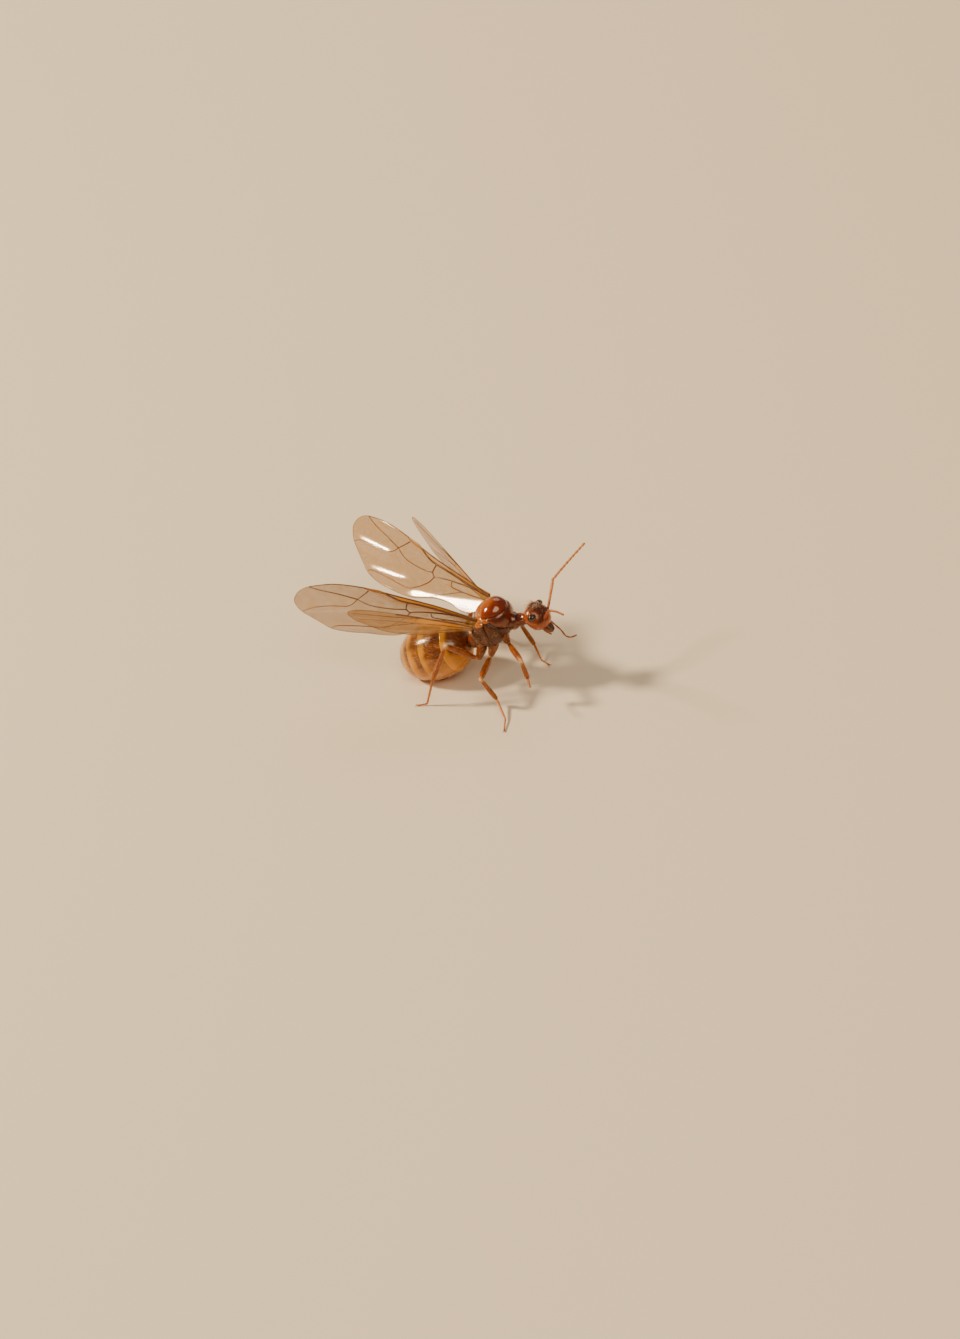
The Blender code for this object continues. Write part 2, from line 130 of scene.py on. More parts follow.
# --- trunk: five plates --------------------------------------------------------------
# The thorax is one deep dome of shell, parted by sutures into pronotum, scutum,
# scutellum, flank and propodeum.  The back is clear dark red and polished, with painted
# sunlight in orange on its rear, which faces the light; the sides are dark brown and
# finely wrinkled.
TRUNK_CENTRE = (-0.02, 0.0, 3.30)
TRUNK_PITCH = -28.0                 # its crown leans forward
TRUNK_HALF = (0.935, 1.04)          # half length, half width
TRUNK_UP, TRUNK_DOWN = 1.31, 1.33
SUTURE_DEPTH, SUTURE_WIDTH, SUTURE_GAP = 0.05, 0.06, 0.008
SUTURE_BARE = 0.03                  # no hair grows so near to one
SCORE_DEPTH, SCORE_WIDTH = 0.016, 0.02
trunk_axes = place(TRUNK_CENTRE, TRUNK_PITCH)


def skin(rows, first=None, last=None):
    """Closed skin over rings of points; each point keeps the way its hairs lie."""
    bm = bmesh.new()
    lie = bm.verts.layers.float_vector.new("lie")
    uv = bm.loops.layers.uv.new("skin_uv")
    count, sides = len(rows), len(rows[0])
    grid = [[bm.verts.new(p) for p in row] for row in rows]
    for i, row in enumerate(grid):
        ahead, behind = rows[max(i - 1, 0)], rows[min(i + 1, count - 1)]
        for k, vert in enumerate(row):
            vert[lie] = (behind[k] - ahead[k]).normalized()
    for i in range(count - 1):
        for k in range(sides):
            m = (k + 1) % sides
            face = bm.faces.new((grid[i][k], grid[i][m], grid[i + 1][m], grid[i + 1][k]))
            corners = ((k, i), (k + 1, i), (k + 1, i + 1), (k, i + 1))
            for loop, (across, down) in zip(face.loops, corners):
                loop[uv].uv = (across / sides, (down + 1) / (count + 1))
    for i, tip in ((0, first), (count - 1, last)):
        end = bm.verts.new(tip if tip is not None else sum(rows[i], Vector()) / sides)
        end[lie] = grid[i][0][lie]
        for k in range(sides):
            face = bm.faces.new((grid[i][k], grid[i][(k + 1) % sides], end))
            for loop, across in zip(face.loops, (k, k + 1, k + 0.5)):
                loop[uv].uv = (across / sides, (i + 1) / (count + 1))
    bmesh.ops.recalc_face_normals(bm, faces=bm.faces)
    return bm


def egg_rows(half_x, half_y, up, down, full_front, full_rear, sides, rings, shape=None):
    """Rings of an egg along X, front first, each point passed through shape(x, y, z)."""
    rows = []
    for i in range(1, rings):
        t = math.cos(math.pi * i / rings)
        power = full_front if t > 0 else full_rear
        swell = math.sqrt(max(0.0, 1.0 - abs(t) ** power))
        row = []
        for k in range(sides):
            a = 2 * math.pi * k / sides
            height = up if math.sin(a) > 0 else down
            p = Vector((t * half_x, swell * half_y * math.cos(a), swell * height * math.sin(a)))
            row.append(shape(p) if shape else p)
        rows.append(row)
    return rows


def settle(name, bm, finish, nodes):
    """Set a finished piece into the frame, in metres, in place of its plain solids."""
    move(bm, INTO_FRAME)
    mesh = bpy.data.meshes.new(name)
    bm.to_mesh(mesh)
    bm.free()
    obj = bpy.data.objects.new(name, mesh)
    bpy.context.scene.collection.objects.link(obj)
    mesh.materials.append(finish)
    mesh.shade_smooth()
    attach(obj, "root")
    if nodes:
        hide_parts(*nodes)
    return obj


def move(bm, axes):
    bmesh.ops.transform(bm, matrix=axes, verts=bm.verts)


def groove(off, width, depth):
    return depth * math.exp(-(off / width) ** 2)


def bump(p, centre, width, height):
    """How much a soft round bump of this height, or hollow, counts at the point p."""
    return groove((p - Vector(centre)).length, width, height)


# the dome's soft swellings and hollows: centre, width and height
TRUNK_SWELLS = (((-0.28, 0, 1.2), 0.6, 0.05), ((-0.86, 0, 0.39), 0.3, 0.08),
                ((-0.87, 0, -0.24), 0.3, -0.07), ((0.2, 0.95, -0.12), 0.5, 0.04),
                ((0.2, -0.95, -0.12), 0.5, 0.04))


def trunk_shape(p):
    """The dome swells over the scutum and is drawn in to a collar and a sloping tail end."""
    out = Vector((0.25 * p.x, p.y, p.z))
    out = out.normalized() if out.length > 0 else Vector((1, 0, 0))
    return p + out * sum(bump(p, *swell) for swell in TRUNK_SWELLS)


# suture lines in the trunk's own side view: a point and the line's angle in degrees
BACK_SUTURE = ((-0.58, 0.44), 45.0)
SCUTUM_SUTURE = ((-0.73, 0.52), 133.0)
PRONOTUM_SUTURE = ((0.21, 0.56), 177.0)
FLANK_SUTURE = ((-0.03, -0.01), 133.0)
# fine lines scored on the plates: two ends, in side view and, on the scutum, from above
SCORES = {
    "scutum": (((-0.80, 0.40), (-0.05, 0.47)),),
    "mesopleuron": (((0.39, 0.26), (-0.07, -0.15)),),
}


def half_space(suture, above):
    """A point on the cut, and the way that the waste lies: above the suture or below it."""
    (x, z), angle = suture
    waste = Vector((-math.sin(math.radians(angle)), 0, math.cos(math.radians(angle))))
    waste = -waste if above else waste
    return Vector((x, 0, z)) - waste * SUTURE_GAP, waste


def trim(bm, point, waste):
    """Cut off the side the waste vector points to and close the cut."""
    parts = bm.verts[:] + bm.edges[:] + bm.faces[:]
    made = bmesh.ops.bisect_plane(bm, geom=parts, dist=1e-5, plane_co=point, plane_no=waste,
                                  clear_outer=True)
    edges = [e for e in made["geom_cut"] if isinstance(e, bmesh.types.BMEdge)]
    bmesh.ops.holes_fill(bm, edges=edges, sides=0)


def feed(node, inputs):
    """Give a node's inputs their values; one that is given another node's socket is linked."""
    for socket, value in dict(inputs).items():
        if isinstance(value, bpy.types.NodeSocket):
            node.id_data.links.new(value, node.inputs[socket])
        else:
            node.inputs[socket].default_value = value


def add(tree, kind, inputs=(), **settings):
    """A new node of the tree with its settings and its inputs."""
    node = tree.nodes.new(kind)
    for name, value in settings.items():
        setattr(node, name, value)
    feed(node, inputs)
    return node


def grain_group():
    """Fine netted shell: cells, a slow mottle and a fine grain, in millimetres."""
    group = bpy.data.node_groups.new("shell_grain", "ShaderNodeTree")
    face = group.interface
    face.new_socket("Vector", in_out="INPUT", socket_type="NodeSocketVector")
    for name, value in (("Cells per mm", 30.0), ("Relief", 0.3), ("Smooth", 0.2), ("Dull", 0.4)):
        face.new_socket(name, in_out="INPUT", socket_type="NodeSocketFloat").default_value = value
    for name, kind in (("Mottle", "Float"), ("Roughness", "Float"), ("Normal", "Vector")):
        face.new_socket(name, in_out="OUTPUT", socket_type="NodeSocket" + kind)
    given = add(group, "NodeGroupInput").outputs
    scaled = add(group, "ShaderNodeVectorMath", {0: given["Vector"], "Scale": 1 / MM},
                 operation="SCALE")
    mm = scaled.outputs[0]
    cells = add(group, "ShaderNodeTexVoronoi", {"Vector": mm, "Scale": given["Cells per mm"]},
                feature="DISTANCE_TO_EDGE")
    edge = add(group, "ShaderNodeMapRange", {"Value": cells.outputs["Distance"], "From Max": 0.12})
    mottle = add(group, "ShaderNodeTexNoise",
                 {"Vector": mm, "Scale": 2.6, "Detail": 5.0, "Roughness": 0.6})
    spread = add(group, "ShaderNodeMapRange",
                 {"Value": mottle.outputs["Fac"], "From Min": 0.32, "From Max": 0.68})
    fine = add(group, "ShaderNodeTexNoise", {"Vector": mm, "Scale": 24.0, "Detail": 3.0})
    level = add(group, "ShaderNodeMapRange",
                {"Value": fine.outputs["Fac"], "From Min": 0.3, "From Max": 0.7,
                 "To Min": given["Smooth"], "To Max": given["Dull"]})
    both = add(group, "ShaderNodeMath",
               {0: fine.outputs["Fac"], 1: 0.6, 2: edge.outputs["Result"]}, operation="MULTIPLY_ADD")
    relief = add(group, "ShaderNodeBump", {"Strength": given["Relief"], "Distance": SHELL_RELIEF,
                                           "Height": both.outputs[0]})
    add(group, "NodeGroupOutput", {"Mottle": spread.outputs["Result"],
                                   "Roughness": level.outputs["Result"],
                                   "Normal": relief.outputs["Normal"]})
    return group


SHELL_RELIEF = 0.000004              # metres, from the floor of a cell to its rim
shell_grain = grain_group()


def shell(name, deep, pale, cells=30.0, relief=0.3, smooth=0.16, dull=0.34, glow=0.25, coat=0.4):
    """Insect shell: two tones of one amber, netted, polished and a little see-through."""
    finish = bpy.data.materials.new(name)
    finish.use_nodes = True
    tree = finish.node_tree
    grain = add(tree, "ShaderNodeGroup",
                {"Vector": add(tree, "ShaderNodeTexCoord").outputs["Object"], "Cells per mm": cells,
                 "Relief": relief, "Smooth": smooth, "Dull": dull}, node_tree=shell_grain)
    tone = add(tree, "ShaderNodeMix",
               {"Factor": grain.outputs["Mottle"], "A": (*deep, 1.0), "B": (*pale, 1.0)},
               data_type="RGBA")
    feed(tree.nodes["Principled BSDF"], {
        "Base Color": tone.outputs["Result"], "Roughness": grain.outputs["Roughness"],
        "Normal": grain.outputs["Normal"], "Specular Tint": (1.0, 0.72, 0.45, 1.0), "IOR": 1.55,
        "Subsurface Weight": glow, "Subsurface Radius": (1.0, 0.4, 0.12),
        "Subsurface Scale": 0.25 * MM, "Coat Weight": coat, "Coat Roughness": 0.08})
    return finish


def smooth(x):
    x = min(max(x, 0.0), 1.0)
    return x * x * (3 - 2 * x)


def paint(bm, name, rule):
    """Keep a number on each point of the mesh, for the finish to read."""
    layer = bm.verts.layers.float.get(name) or bm.verts.layers.float.new(name)
    for vert in bm.verts:
        vert[layer] = rule(vert.co)


def tint(finish, attribute, colour):
    """Mix another colour into the shell where the number on the mesh rises to 1."""
    tree = finish.node_tree
    base = tree.nodes["Principled BSDF"].inputs["Base Color"]
    told = add(tree, "ShaderNodeAttribute", attribute_name=attribute)
    blend = add(tree, "ShaderNodeMix",
                {"Factor": told.outputs["Fac"], "A": base.links[0].from_socket,
                 "B": (*colour, 1.0)}, data_type="RGBA")
    tree.links.new(blend.outputs["Result"], base)


back_finish = shell("back_shell_finish", (0.10, 0.006, 0.001), (0.22, 0.024, 0.001), cells=26.0,
                    relief=0.10, smooth=0.05, dull=0.13, glow=0.12, coat=0.5)
# painted sunlight: orange on the rear of the back, where the light from behind falls
tint(back_finish, "rim", (0.54, 0.145, 0.004))
collar_finish = shell("collar_finish", (0.055, 0.004, 0.001), (0.16, 0.016, 0.001), cells=30.0,
                      relief=0.2, smooth=0.12, dull=0.26, glow=0.2, coat=0.5)
side_finish = shell("side_shell_finish", (0.016, 0.002, 0.001), (0.10, 0.011, 0.002), cells=34.0,
                    relief=0.5, smooth=0.22, dull=0.42, glow=0.12, coat=0.2)

PLATES = {
    "scutum": (((BACK_SUTURE, True), (SCUTUM_SUTURE, False)), back_finish, "back_shell"),
    "scutellum": (((BACK_SUTURE, True), (SCUTUM_SUTURE, True)), back_finish, "back_shell"),
    "pronotum": (((BACK_SUTURE, False), (PRONOTUM_SUTURE, False)), collar_finish, "side_shell"),
    "mesopleuron": (((BACK_SUTURE, False), (PRONOTUM_SUTURE, True), (FLANK_SUTURE, False)),
                    side_finish, "side_shell"),
    "propodeum": (((BACK_SUTURE, False), (FLANK_SUTURE, True)), side_finish, "side_shell"),
}
# share of the coat's full thickness that grows on each plate
PLATE_FUR = {"scutum": 0.12, "scutellum": 0.4, "pronotum": 0.2, "mesopleuron": 0.28,
             "propodeum": 0.9}
trunk_skins = []
trunk_rows = egg_rows(*TRUNK_HALF, TRUNK_UP, TRUNK_DOWN, 2.4, 2.6, 96, 72, trunk_shape)
for plate, (sutures, finish, slot) in PLATES.items():
    bm = skin(trunk_rows)
    planes = [half_space(*suture) for suture in sutures]
    for point, waste in planes:
        trim(bm, point, waste)
    for vert in bm.verts:
        depth = 0.0
        for point, waste in planes:
            depth += SUTURE_DEPTH * math.exp(-(abs((vert.co - point).dot(waste)) / SUTURE_WIDTH))
        for (x0, z0), (x1, z1) in SCORES.get(plate, ()):
            line = z0 + (vert.co.x - x0) / (x1 - x0) * (z1 - z0)
            off = (abs(vert.co.y) if plate == "scutum" else vert.co.z) - line
            if min(x0, x1) < vert.co.x < max(x0, x1):
                depth += groove(off, SCORE_WIDTH, SCORE_DEPTH)
        inward = Vector((0.25 * vert.co.x, vert.co.y, vert.co.z))
        if inward.length > 0.3:
            vert.co -= inward.normalized() * depth
    paint(bm, "fur", lambda q: PLATE_FUR[plate] if all(
        abs((q - spot).dot(waste)) >= SUTURE_BARE for spot, waste in planes) else 0.0)
    # painted sunlight: marks the rear of the back, which faces the light, for the orange
    paint(bm, "rim", lambda q: smooth((-q.x - 0.40 + 0.25 * noise.noise(q * 2.0)) / 0.4) * 0.65)
    move(bm, trunk_axes)
    trunk_skins.append(bm.copy())
    settle(plate + "_plate", bm, finish, (plate,))

# --- neck -----------------------------------------------------------------------------
# A thick stalk of polished shell, on which the head turns, spread to a collar where it
# leaves the trunk.  Its ends are buried in the collar and in the back of the head.
NECK_LINE = ((0.75, 0, 3.38), (1.05, 0, 3.44), (1.3, 0, 3.50), (1.6, 0, 3.58), (1.9, 0, 3.66))
NECK_RADII = (0.46, 0.42, 0.33, 0.29, 0.30)


def through(points, steps):
    """A smooth line of points through the given ones, with so many steps between each pair."""
    points, spots = [Vector(p) for p in points], []
    for i in range(len(points) - 1):
        start, end = points[i], points[i + 1]
        before, after = points[max(i - 1, 0)], points[min(i + 2, len(points) - 1)]
        for step in range(steps + (i == len(points) - 2)):
            t = step / steps
            spots.append(start + ((end - before) * t
                                  + (2 * before - 5 * start + 4 * end - after) * t ** 2
                                  + (3 * start - before - 3 * end + after) * t ** 3) / 2)
    return spots


def straight(start, end, count):
    """So many points, evenly spaced from start to end."""
    return [start.lerp(end, i / (count - 1)) for i in range(count)]


def beyond(start, end, by):
    """The point so far past the end of the line that runs from start to end."""
    return end + (end - start).normalized() * by


def rings_along(points, radii, sides=14, steps=5, swell=None):
    """Rings round a smooth line through the points; swell(share) thickens them along it."""
    spots = through(points, steps)
    rows, side = [], None
    for i, spot in enumerate(spots):
        along = (spots[min(i + 1, len(spots) - 1)] - spots[max(i - 1, 0)]).normalized()
        if side is None:
            side = along.cross(Vector((0, 0, 1)))
            side = side if side.length > 0.1 else Vector((0, 1, 0))
        side = (side - along * side.dot(along)).normalized()
        up = side.cross(along)
        k = min(i // steps, len(radii) - 2)
        size = radii[k] + (radii[k + 1] - radii[k]) * smooth(i / steps - k)
        size *= swell(i / (len(spots) - 1)) if swell else 1.0
        turns = (2 * math.pi * step / sides for step in range(sides))
        rows.append([spot + size * (side * math.cos(a) + up * math.sin(a)) for a in turns])
    return rows


neck_rows = rings_along(NECK_LINE, NECK_RADII, sides=40, steps=12,
                        swell=lambda share: 1.0 + 0.02 * math.sin(share * 24.0))
settle("neck_stalk", skin(neck_rows), collar_finish, ("neck",))

# --- head ------------------------------------------------------------------------------
# A rounded capsule, orange-red on the cheeks and round the jaws, and dark on the brow.
# The clypeus swells over the jaws, and the feelers sit in two pits beside two ridges.
HEAD_HALF = (0.68, 0.72)
HEAD_UP, HEAD_DOWN = 0.54, 0.5
ORBIT = 0.24             # an eye's room, round its middle
# its soft swellings and hollows, the same on both sides: centre, width and height
HEAD_SWELLS = {
    "clypeus": ((0.47, 0, 0.28), 0.2, 0.05),
    "feeler_pit": ((0.30, 0.24, 0.40), 0.085, -0.07),
    "ridge": ((0.20, 0.12, 0.48), 0.06, 0.025),
    "orbit": ((-0.22, 0.60, 0.22), 0.25, -0.02),
    "cheek": ((0.22, 0.58, -0.10), 0.3, 0.035),
    "neck_hole": ((-0.70, 0, 0.0), 0.28, -0.05),
}
CLYPEUS_AT, CLYPEUS_RADIUS, CLYPEUS_WIDER = 0.52, 0.26, 1.15
CLYPEUS_SEAM, BROW_SEAM, SEAM_DEPTH = 0.016, 0.014, 0.012


def head_shape(p):
    """The capsule with its swellings, the seam round the clypeus and the seam of the brow."""
    half = Vector((p.x, abs(p.y), p.z))
    out = Vector((0.35 * p.x, p.y, p.z))
    out = out.normalized() if out.length > 0.02 else Vector((math.copysign(1, p.x), 0, 0))
    lift = sum(bump(half, *swell) for swell in HEAD_SWELLS.values())
    if p.z > 0:
        rim = math.hypot(p.x - CLYPEUS_AT, p.y / CLYPEUS_WIDER) - CLYPEUS_RADIUS
        lift -= groove(rim, CLYPEUS_SEAM, SEAM_DEPTH)
        if -0.25 < p.x < 0.2:
            lift -= groove(p.y, BROW_SEAM, SEAM_DEPTH)
    return p + out * lift


def clear_of_eye(p, blur):
    """0 in the place of either eye, rising to 1 over the blur beyond its orbit."""
    off = (Vector((p.x, abs(p.y), p.z)) - Vector(EYE_PLACE)).length
    return smooth((off - ORBIT) / blur)


def brow(p):
    """1 on the dark brow, which ends short of the clypeus and of the eyes."""
    return smooth((p.z - 0.08) / 0.25) * smooth((0.40 - p.x) / 0.2) * clear_of_eye(p, 0.15)


def head_fur(p):
    """Thickest in a fringe over the back of the head, none in the eyes' places."""
    crown = smooth((-0.16 - p.x) / 0.2) * smooth((p.z + 0.1) / 0.3)
    return (0.15 + 0.85 * crown) * clear_of_eye(p, 0.05) * smooth((0.6 - p.x) / 0.2)


head_finish = shell("head_finish", (0.19, 0.020, 0.001), (0.33, 0.050, 0.002), cells=28.0,
                    relief=0.3, smooth=0.14, dull=0.3, glow=0.18, coat=0.45)
tint(head_finish, "brow", (0.085, 0.009, 0.002))
bm = skin(egg_rows(*HEAD_HALF, HEAD_UP, HEAD_DOWN, 2.2, 2.8, 96, 80, head_shape))
paint(bm, "brow", brow)
paint(bm, "fur", head_fur)
move(bm, head_axes)
head_skin = bm.copy()
settle("head_capsule", bm, head_finish, ("head",))

# --- eyes --------------------------------------------------------------------------------
# Two oval compound eyes, black and polished, netted with hundreds of tiny facets.  Each
# stands a little proud of its orbit on the rear half of the head.
EYE_HALF = (0.18, 0.20, 0.22)
EYE_TURN = 18.0
SIDES = {"left": 1, "right": -1}
eye_finish = shell("eye_finish", (0.004, 0.002, 0.002), (0.014, 0.004, 0.003), cells=46.0,
                   relief=0.35, smooth=0.05, dull=0.14, glow=0.0, coat=0.7)
for label, side in SIDES.items():
    eye_axes = (head_axes @ Matrix.Translation((EYE_PLACE[0], side * EYE_PLACE[1], EYE_PLACE[2]))
                @ Matrix.Rotation(math.radians(EYE_TURN) * side, 4, "X"))
    bm = skin(egg_rows(*EYE_HALF, EYE_HALF[2], 2, 2, 56, 40))
    move(bm, eye_axes)
    settle("eye_dome_" + label, bm, eye_finish, ("eye_" + label,))

# --- ocelli ------------------------------------------------------------------------------
# Three simple eyes stand in a triangle on the crown, like beads of dark amber glass.
OCELLI = {"front": (-0.18, 0.0), "left": (-0.42, 0.17), "right": (-0.42, -0.17)}
OCELLUS_RADIUS = 0.062
ocellus_finish = shell("ocellus_finish", (0.05, 0.016, 0.004), (0.16, 0.05, 0.01), cells=10.0,
                       relief=0.05, smooth=0.04, dull=0.08, glow=0.3, coat=1.0)
for label, (x, y) in OCELLI.items():
    full = math.sqrt(1 - (abs(x) / HEAD_HALF[0]) ** 2.8)
    z = HEAD_UP * full * math.sqrt(1 - (y / (HEAD_HALF[1] * full)) ** 2)
    bm = skin(egg_rows(*[OCELLUS_RADIUS] * 4, 2, 2, 24, 16))
    move(bm, head_axes @ Matrix.Translation((x, y, z)))
    settle("ocellus_bead_" + label, bm, ocellus_finish, ("ocellus_" + label,))

# --- mandibles ----------------------------------------------------------------------------
# A pair of flat curved jaws, dark brown with darker cutting edges, each with five teeth
# down its inner side.  They are closed, side by side, under the clypeus.
JAW_PLACE = (0.72, 0.205, -0.1)
JAW_TURN = 7.0
JAW_LENGTH = 0.76
JAW_ROOT = -0.40         # how far behind its hinge it starts
JAW_WIDE, JAW_TIP = 0.17, -0.145     # its outer edge, at the root and at the tip
JAW_THICK, JAW_THINNED, JAW_DROOP = 0.17, 0.11, 0.06
JAW_TEETH, TOOTH_DEEP = 5, 0.028
TOOTH_START = 0.36       # share of the length where the teeth begin
JAW_ROWS = 61
jaw_finish = shell("jaw_finish", (0.08, 0.012, 0.002), (0.20, 0.036, 0.004), cells=24.0,
                   relief=0.35, smooth=0.16, dull=0.32, glow=0.25, coat=0.5)
tint(jaw_finish, "edge", (0.03, 0.008, 0.004))


def jaw_row(share, side, count=24):
    """One ring of a jaw, at this share of its length."""
    bite = max(share - TOOTH_START, 0.0) / (1 - TOOTH_START)
    shut = smooth(share / TOOTH_START)
    notch = TOOTH_DEEP * abs(math.sin(bite * math.pi * JAW_TEETH)) ** 0.7 * (1 - 0.6 * bite)
    inner = -0.06 - shut * (0.17 - 0.085 * share) + notch
    outer = JAW_TIP + (JAW_WIDE - JAW_TIP) * math.sqrt(max(1 - share ** 2.4, 0.0)) + 0.012
    middle, half = (outer + inner) / 2, (outer - inner) / 2
    thick = JAW_THICK - JAW_THINNED * share
    droop = -JAW_DROOP * share ** 2
    x = JAW_ROOT + JAW_LENGTH * share
    return [Vector((x, side * (middle + half * math.cos(a)), droop + thick * math.sin(a)))
            for a in (2 * math.pi * k / count for k in range(count))]


for label, side in SIDES.items():
    jaw_axes = (head_axes @ Matrix.Translation((JAW_PLACE[0], side * JAW_PLACE[1], JAW_PLACE[2]))
                @ Matrix.Rotation(math.radians(-JAW_TURN * side), 4, "Z"))
    bm = skin([jaw_row(i / JAW_ROWS, side) for i in range(JAW_ROWS)])
    paint(bm, "edge", lambda q: smooth((0.02 - side * q.y) / 0.16) * smooth((q.x + 0.1) / 0.25))
    move(bm, jaw_axes)
    settle("jaw_" + label, bm, jaw_finish, ("mandible_" + label,))

# --- palps --------------------------------------------------------------------------------
# Thin jointed mouth feelers hang from under the head and curl forward past the jaws.
PALP_LINES = {
    "left": ((2.40, 0.40, 3.45), (2.62, 0.45, 3.24), (2.84, 0.49, 2.95), (3.09, 0.49, 2.66),
             (3.28, 0.49, 2.34), (3.51, 0.50, 2.26), (3.83, 0.50, 2.41)),
    "right": ((2.35, -0.28, 3.38), (2.55, -0.30, 3.22), (2.75, -0.28, 3.05), (2.90, -0.24, 2.95)),
}
PALP_ROOT, PALP_TAPER = 0.05, 0.012      # radius, and what it loses to the tip
palp_finish = shell("palp_finish", (0.15, 0.032, 0.004), (0.30, 0.085, 0.012), cells=40.0,
                    relief=0.3, smooth=0.25, dull=0.45, glow=0.45, coat=0.2)
for label, line in PALP_LINES.items():
    joints = len(line) - 1
    radii = [PALP_ROOT - PALP_TAPER * i / joints for i in range(joints + 1)]
    rows = rings_along(line, radii, sides=14, steps=12,
                       swell=lambda share: 0.62 + 0.38 * abs(math.sin(share * math.pi * joints)) ** 0.6)
    settle("palp_joints_" + label, skin(rows), palp_finish, ("palp_" + label,))

# --- feelers ------------------------------------------------------------------------------
# Each feeler is a long straight scape, red at its root, and, past the elbow, a pale orange
# whip of eleven bead-like joints.  The right one carries painted shade, darker all along,
# and is a little thinner.
FEELERS = {
    "left": ((2.66, 0.30, 3.86), (2.74, 1.45, 4.88), (3.10, 2.62, 5.00), (3.62, 3.72, 5.28)),
    "right": ((2.66, -0.30, 3.86), (3.33, -1.15, 5.02), (4.03, -2.02, 5.66), (4.68, -2.88, 6.18)),
}
SCAPE_RADII = (0.05, 0.062, 0.066, 0.07, 0.075, 0.06)
WHIP_BEADS = 11
BEAD_HALF = 0.56         # half a bead's length, in steps, so that they just overlap
WHIP_RADIUS = {"left": 0.064, "right": 0.054}
# share of painted shade on each feeler: the right one is darkened all along as if in shade
FEELER_PAINTED_SHADE = {"left": 0.0, "right": 0.75}
feeler_finish = shell("feeler_finish", (0.42, 0.12, 0.022), (0.64, 0.25, 0.06), cells=40.0,
                      relief=0.35, smooth=0.22, dull=0.42, glow=0.4, coat=0.25)
whip_finish = shell("whip_finish", (0.40, 0.115, 0.022), (0.64, 0.26, 0.07), cells=44.0,
                    relief=0.4, smooth=0.28, dull=0.5, glow=0.45, coat=0.15)


def node_tree(name, inputs):
    """A Geometry Nodes tree and its named inputs; Geometry goes in and comes out."""
    tree = bpy.data.node_groups.new(name, "GeometryNodeTree")
    for label, kind, value in (("Geometry", "Geometry", None),) + inputs:
        socket = tree.interface.new_socket(label, in_out="INPUT", socket_type="NodeSocket" + kind)
        if value is not None:
            socket.default_value = value
    tree.interface.new_socket("Geometry", in_out="OUTPUT", socket_type="NodeSocketGeometry")
    return tree, add(tree, "NodeGroupInput").outputs


def dress_out(tree, given, last):
    """End the tree: the last node's geometry is given its finish and goes out."""
    dress = add(tree, "GeometryNodeSetMaterial",
                {"Geometry": last.outputs["Geometry"], "Material": given["Finish"]})
    add(tree, "NodeGroupOutput", {"Geometry": dress.outputs["Geometry"]})


def run_tree(data, tree, values):
    """Run the tree on a curve or mesh and return the plain mesh that it makes."""
    source = bpy.data.objects.new(data.name, data)
    bpy.context.scene.collection.objects.link(source)
    modifier = source.modifiers.new(tree.name, "NODES")
    modifier.node_group = tree
    for item in tree.interface.items_tree:
        if item.in_out == "INPUT" and item.name in values:
            modifier[item.identifier] = values[item.name]
    bpy.context.view_layer.update()
    grown = source.evaluated_get(bpy.context.evaluated_depsgraph_get())
    mesh = bpy.data.meshes.new_from_object(grown)
    source.modifiers.remove(modifier)
    bpy.data.objects.remove(source)
    bm = bmesh.new()
    bm.from_mesh(mesh)
    bpy.data.meshes.remove(mesh)
    return bm


def bead_tree():
    """Beads of one size set end to end along a line."""
    tree, given = node_tree("whip_beads", (("Beads", "Int", 11), ("Radius", "Float", 0.07),
                                           ("Length", "Float", 0.3), ("Finish", "Material", None)))
    spots = add(tree, "GeometryNodeResampleCurve",
                {"Curve": given["Geometry"], "Count": given["Beads"]})
    bead = add(tree, "GeometryNodeMeshUVSphere", {"Segments": 14, "Rings": 12, "Radius": 1.0})
    half = add(tree, "ShaderNodeMath", {0: given["Length"], 1: BEAD_HALF}, operation="MULTIPLY")
    size = add(tree, "ShaderNodeCombineXYZ",
               {"X": given["Radius"], "Y": given["Radius"], "Z": half.outputs[0]})
    along = add(tree, "GeometryNodeInputTangent")
    way = add(tree, "FunctionNodeAlignRotationToVector", {"Vector": along.outputs[0]}, axis="Z")
    string = add(tree, "GeometryNodeInstanceOnPoints",
                 {"Points": spots.outputs["Curve"], "Instance": bead.outputs["Mesh"],
                  "Rotation": way.outputs["Rotation"], "Scale": size.outputs["Vector"]})
    real = add(tree, "GeometryNodeRealizeInstances", {"Geometry": string.outputs["Instances"]})
    dress_out(tree, given, real)
    return tree


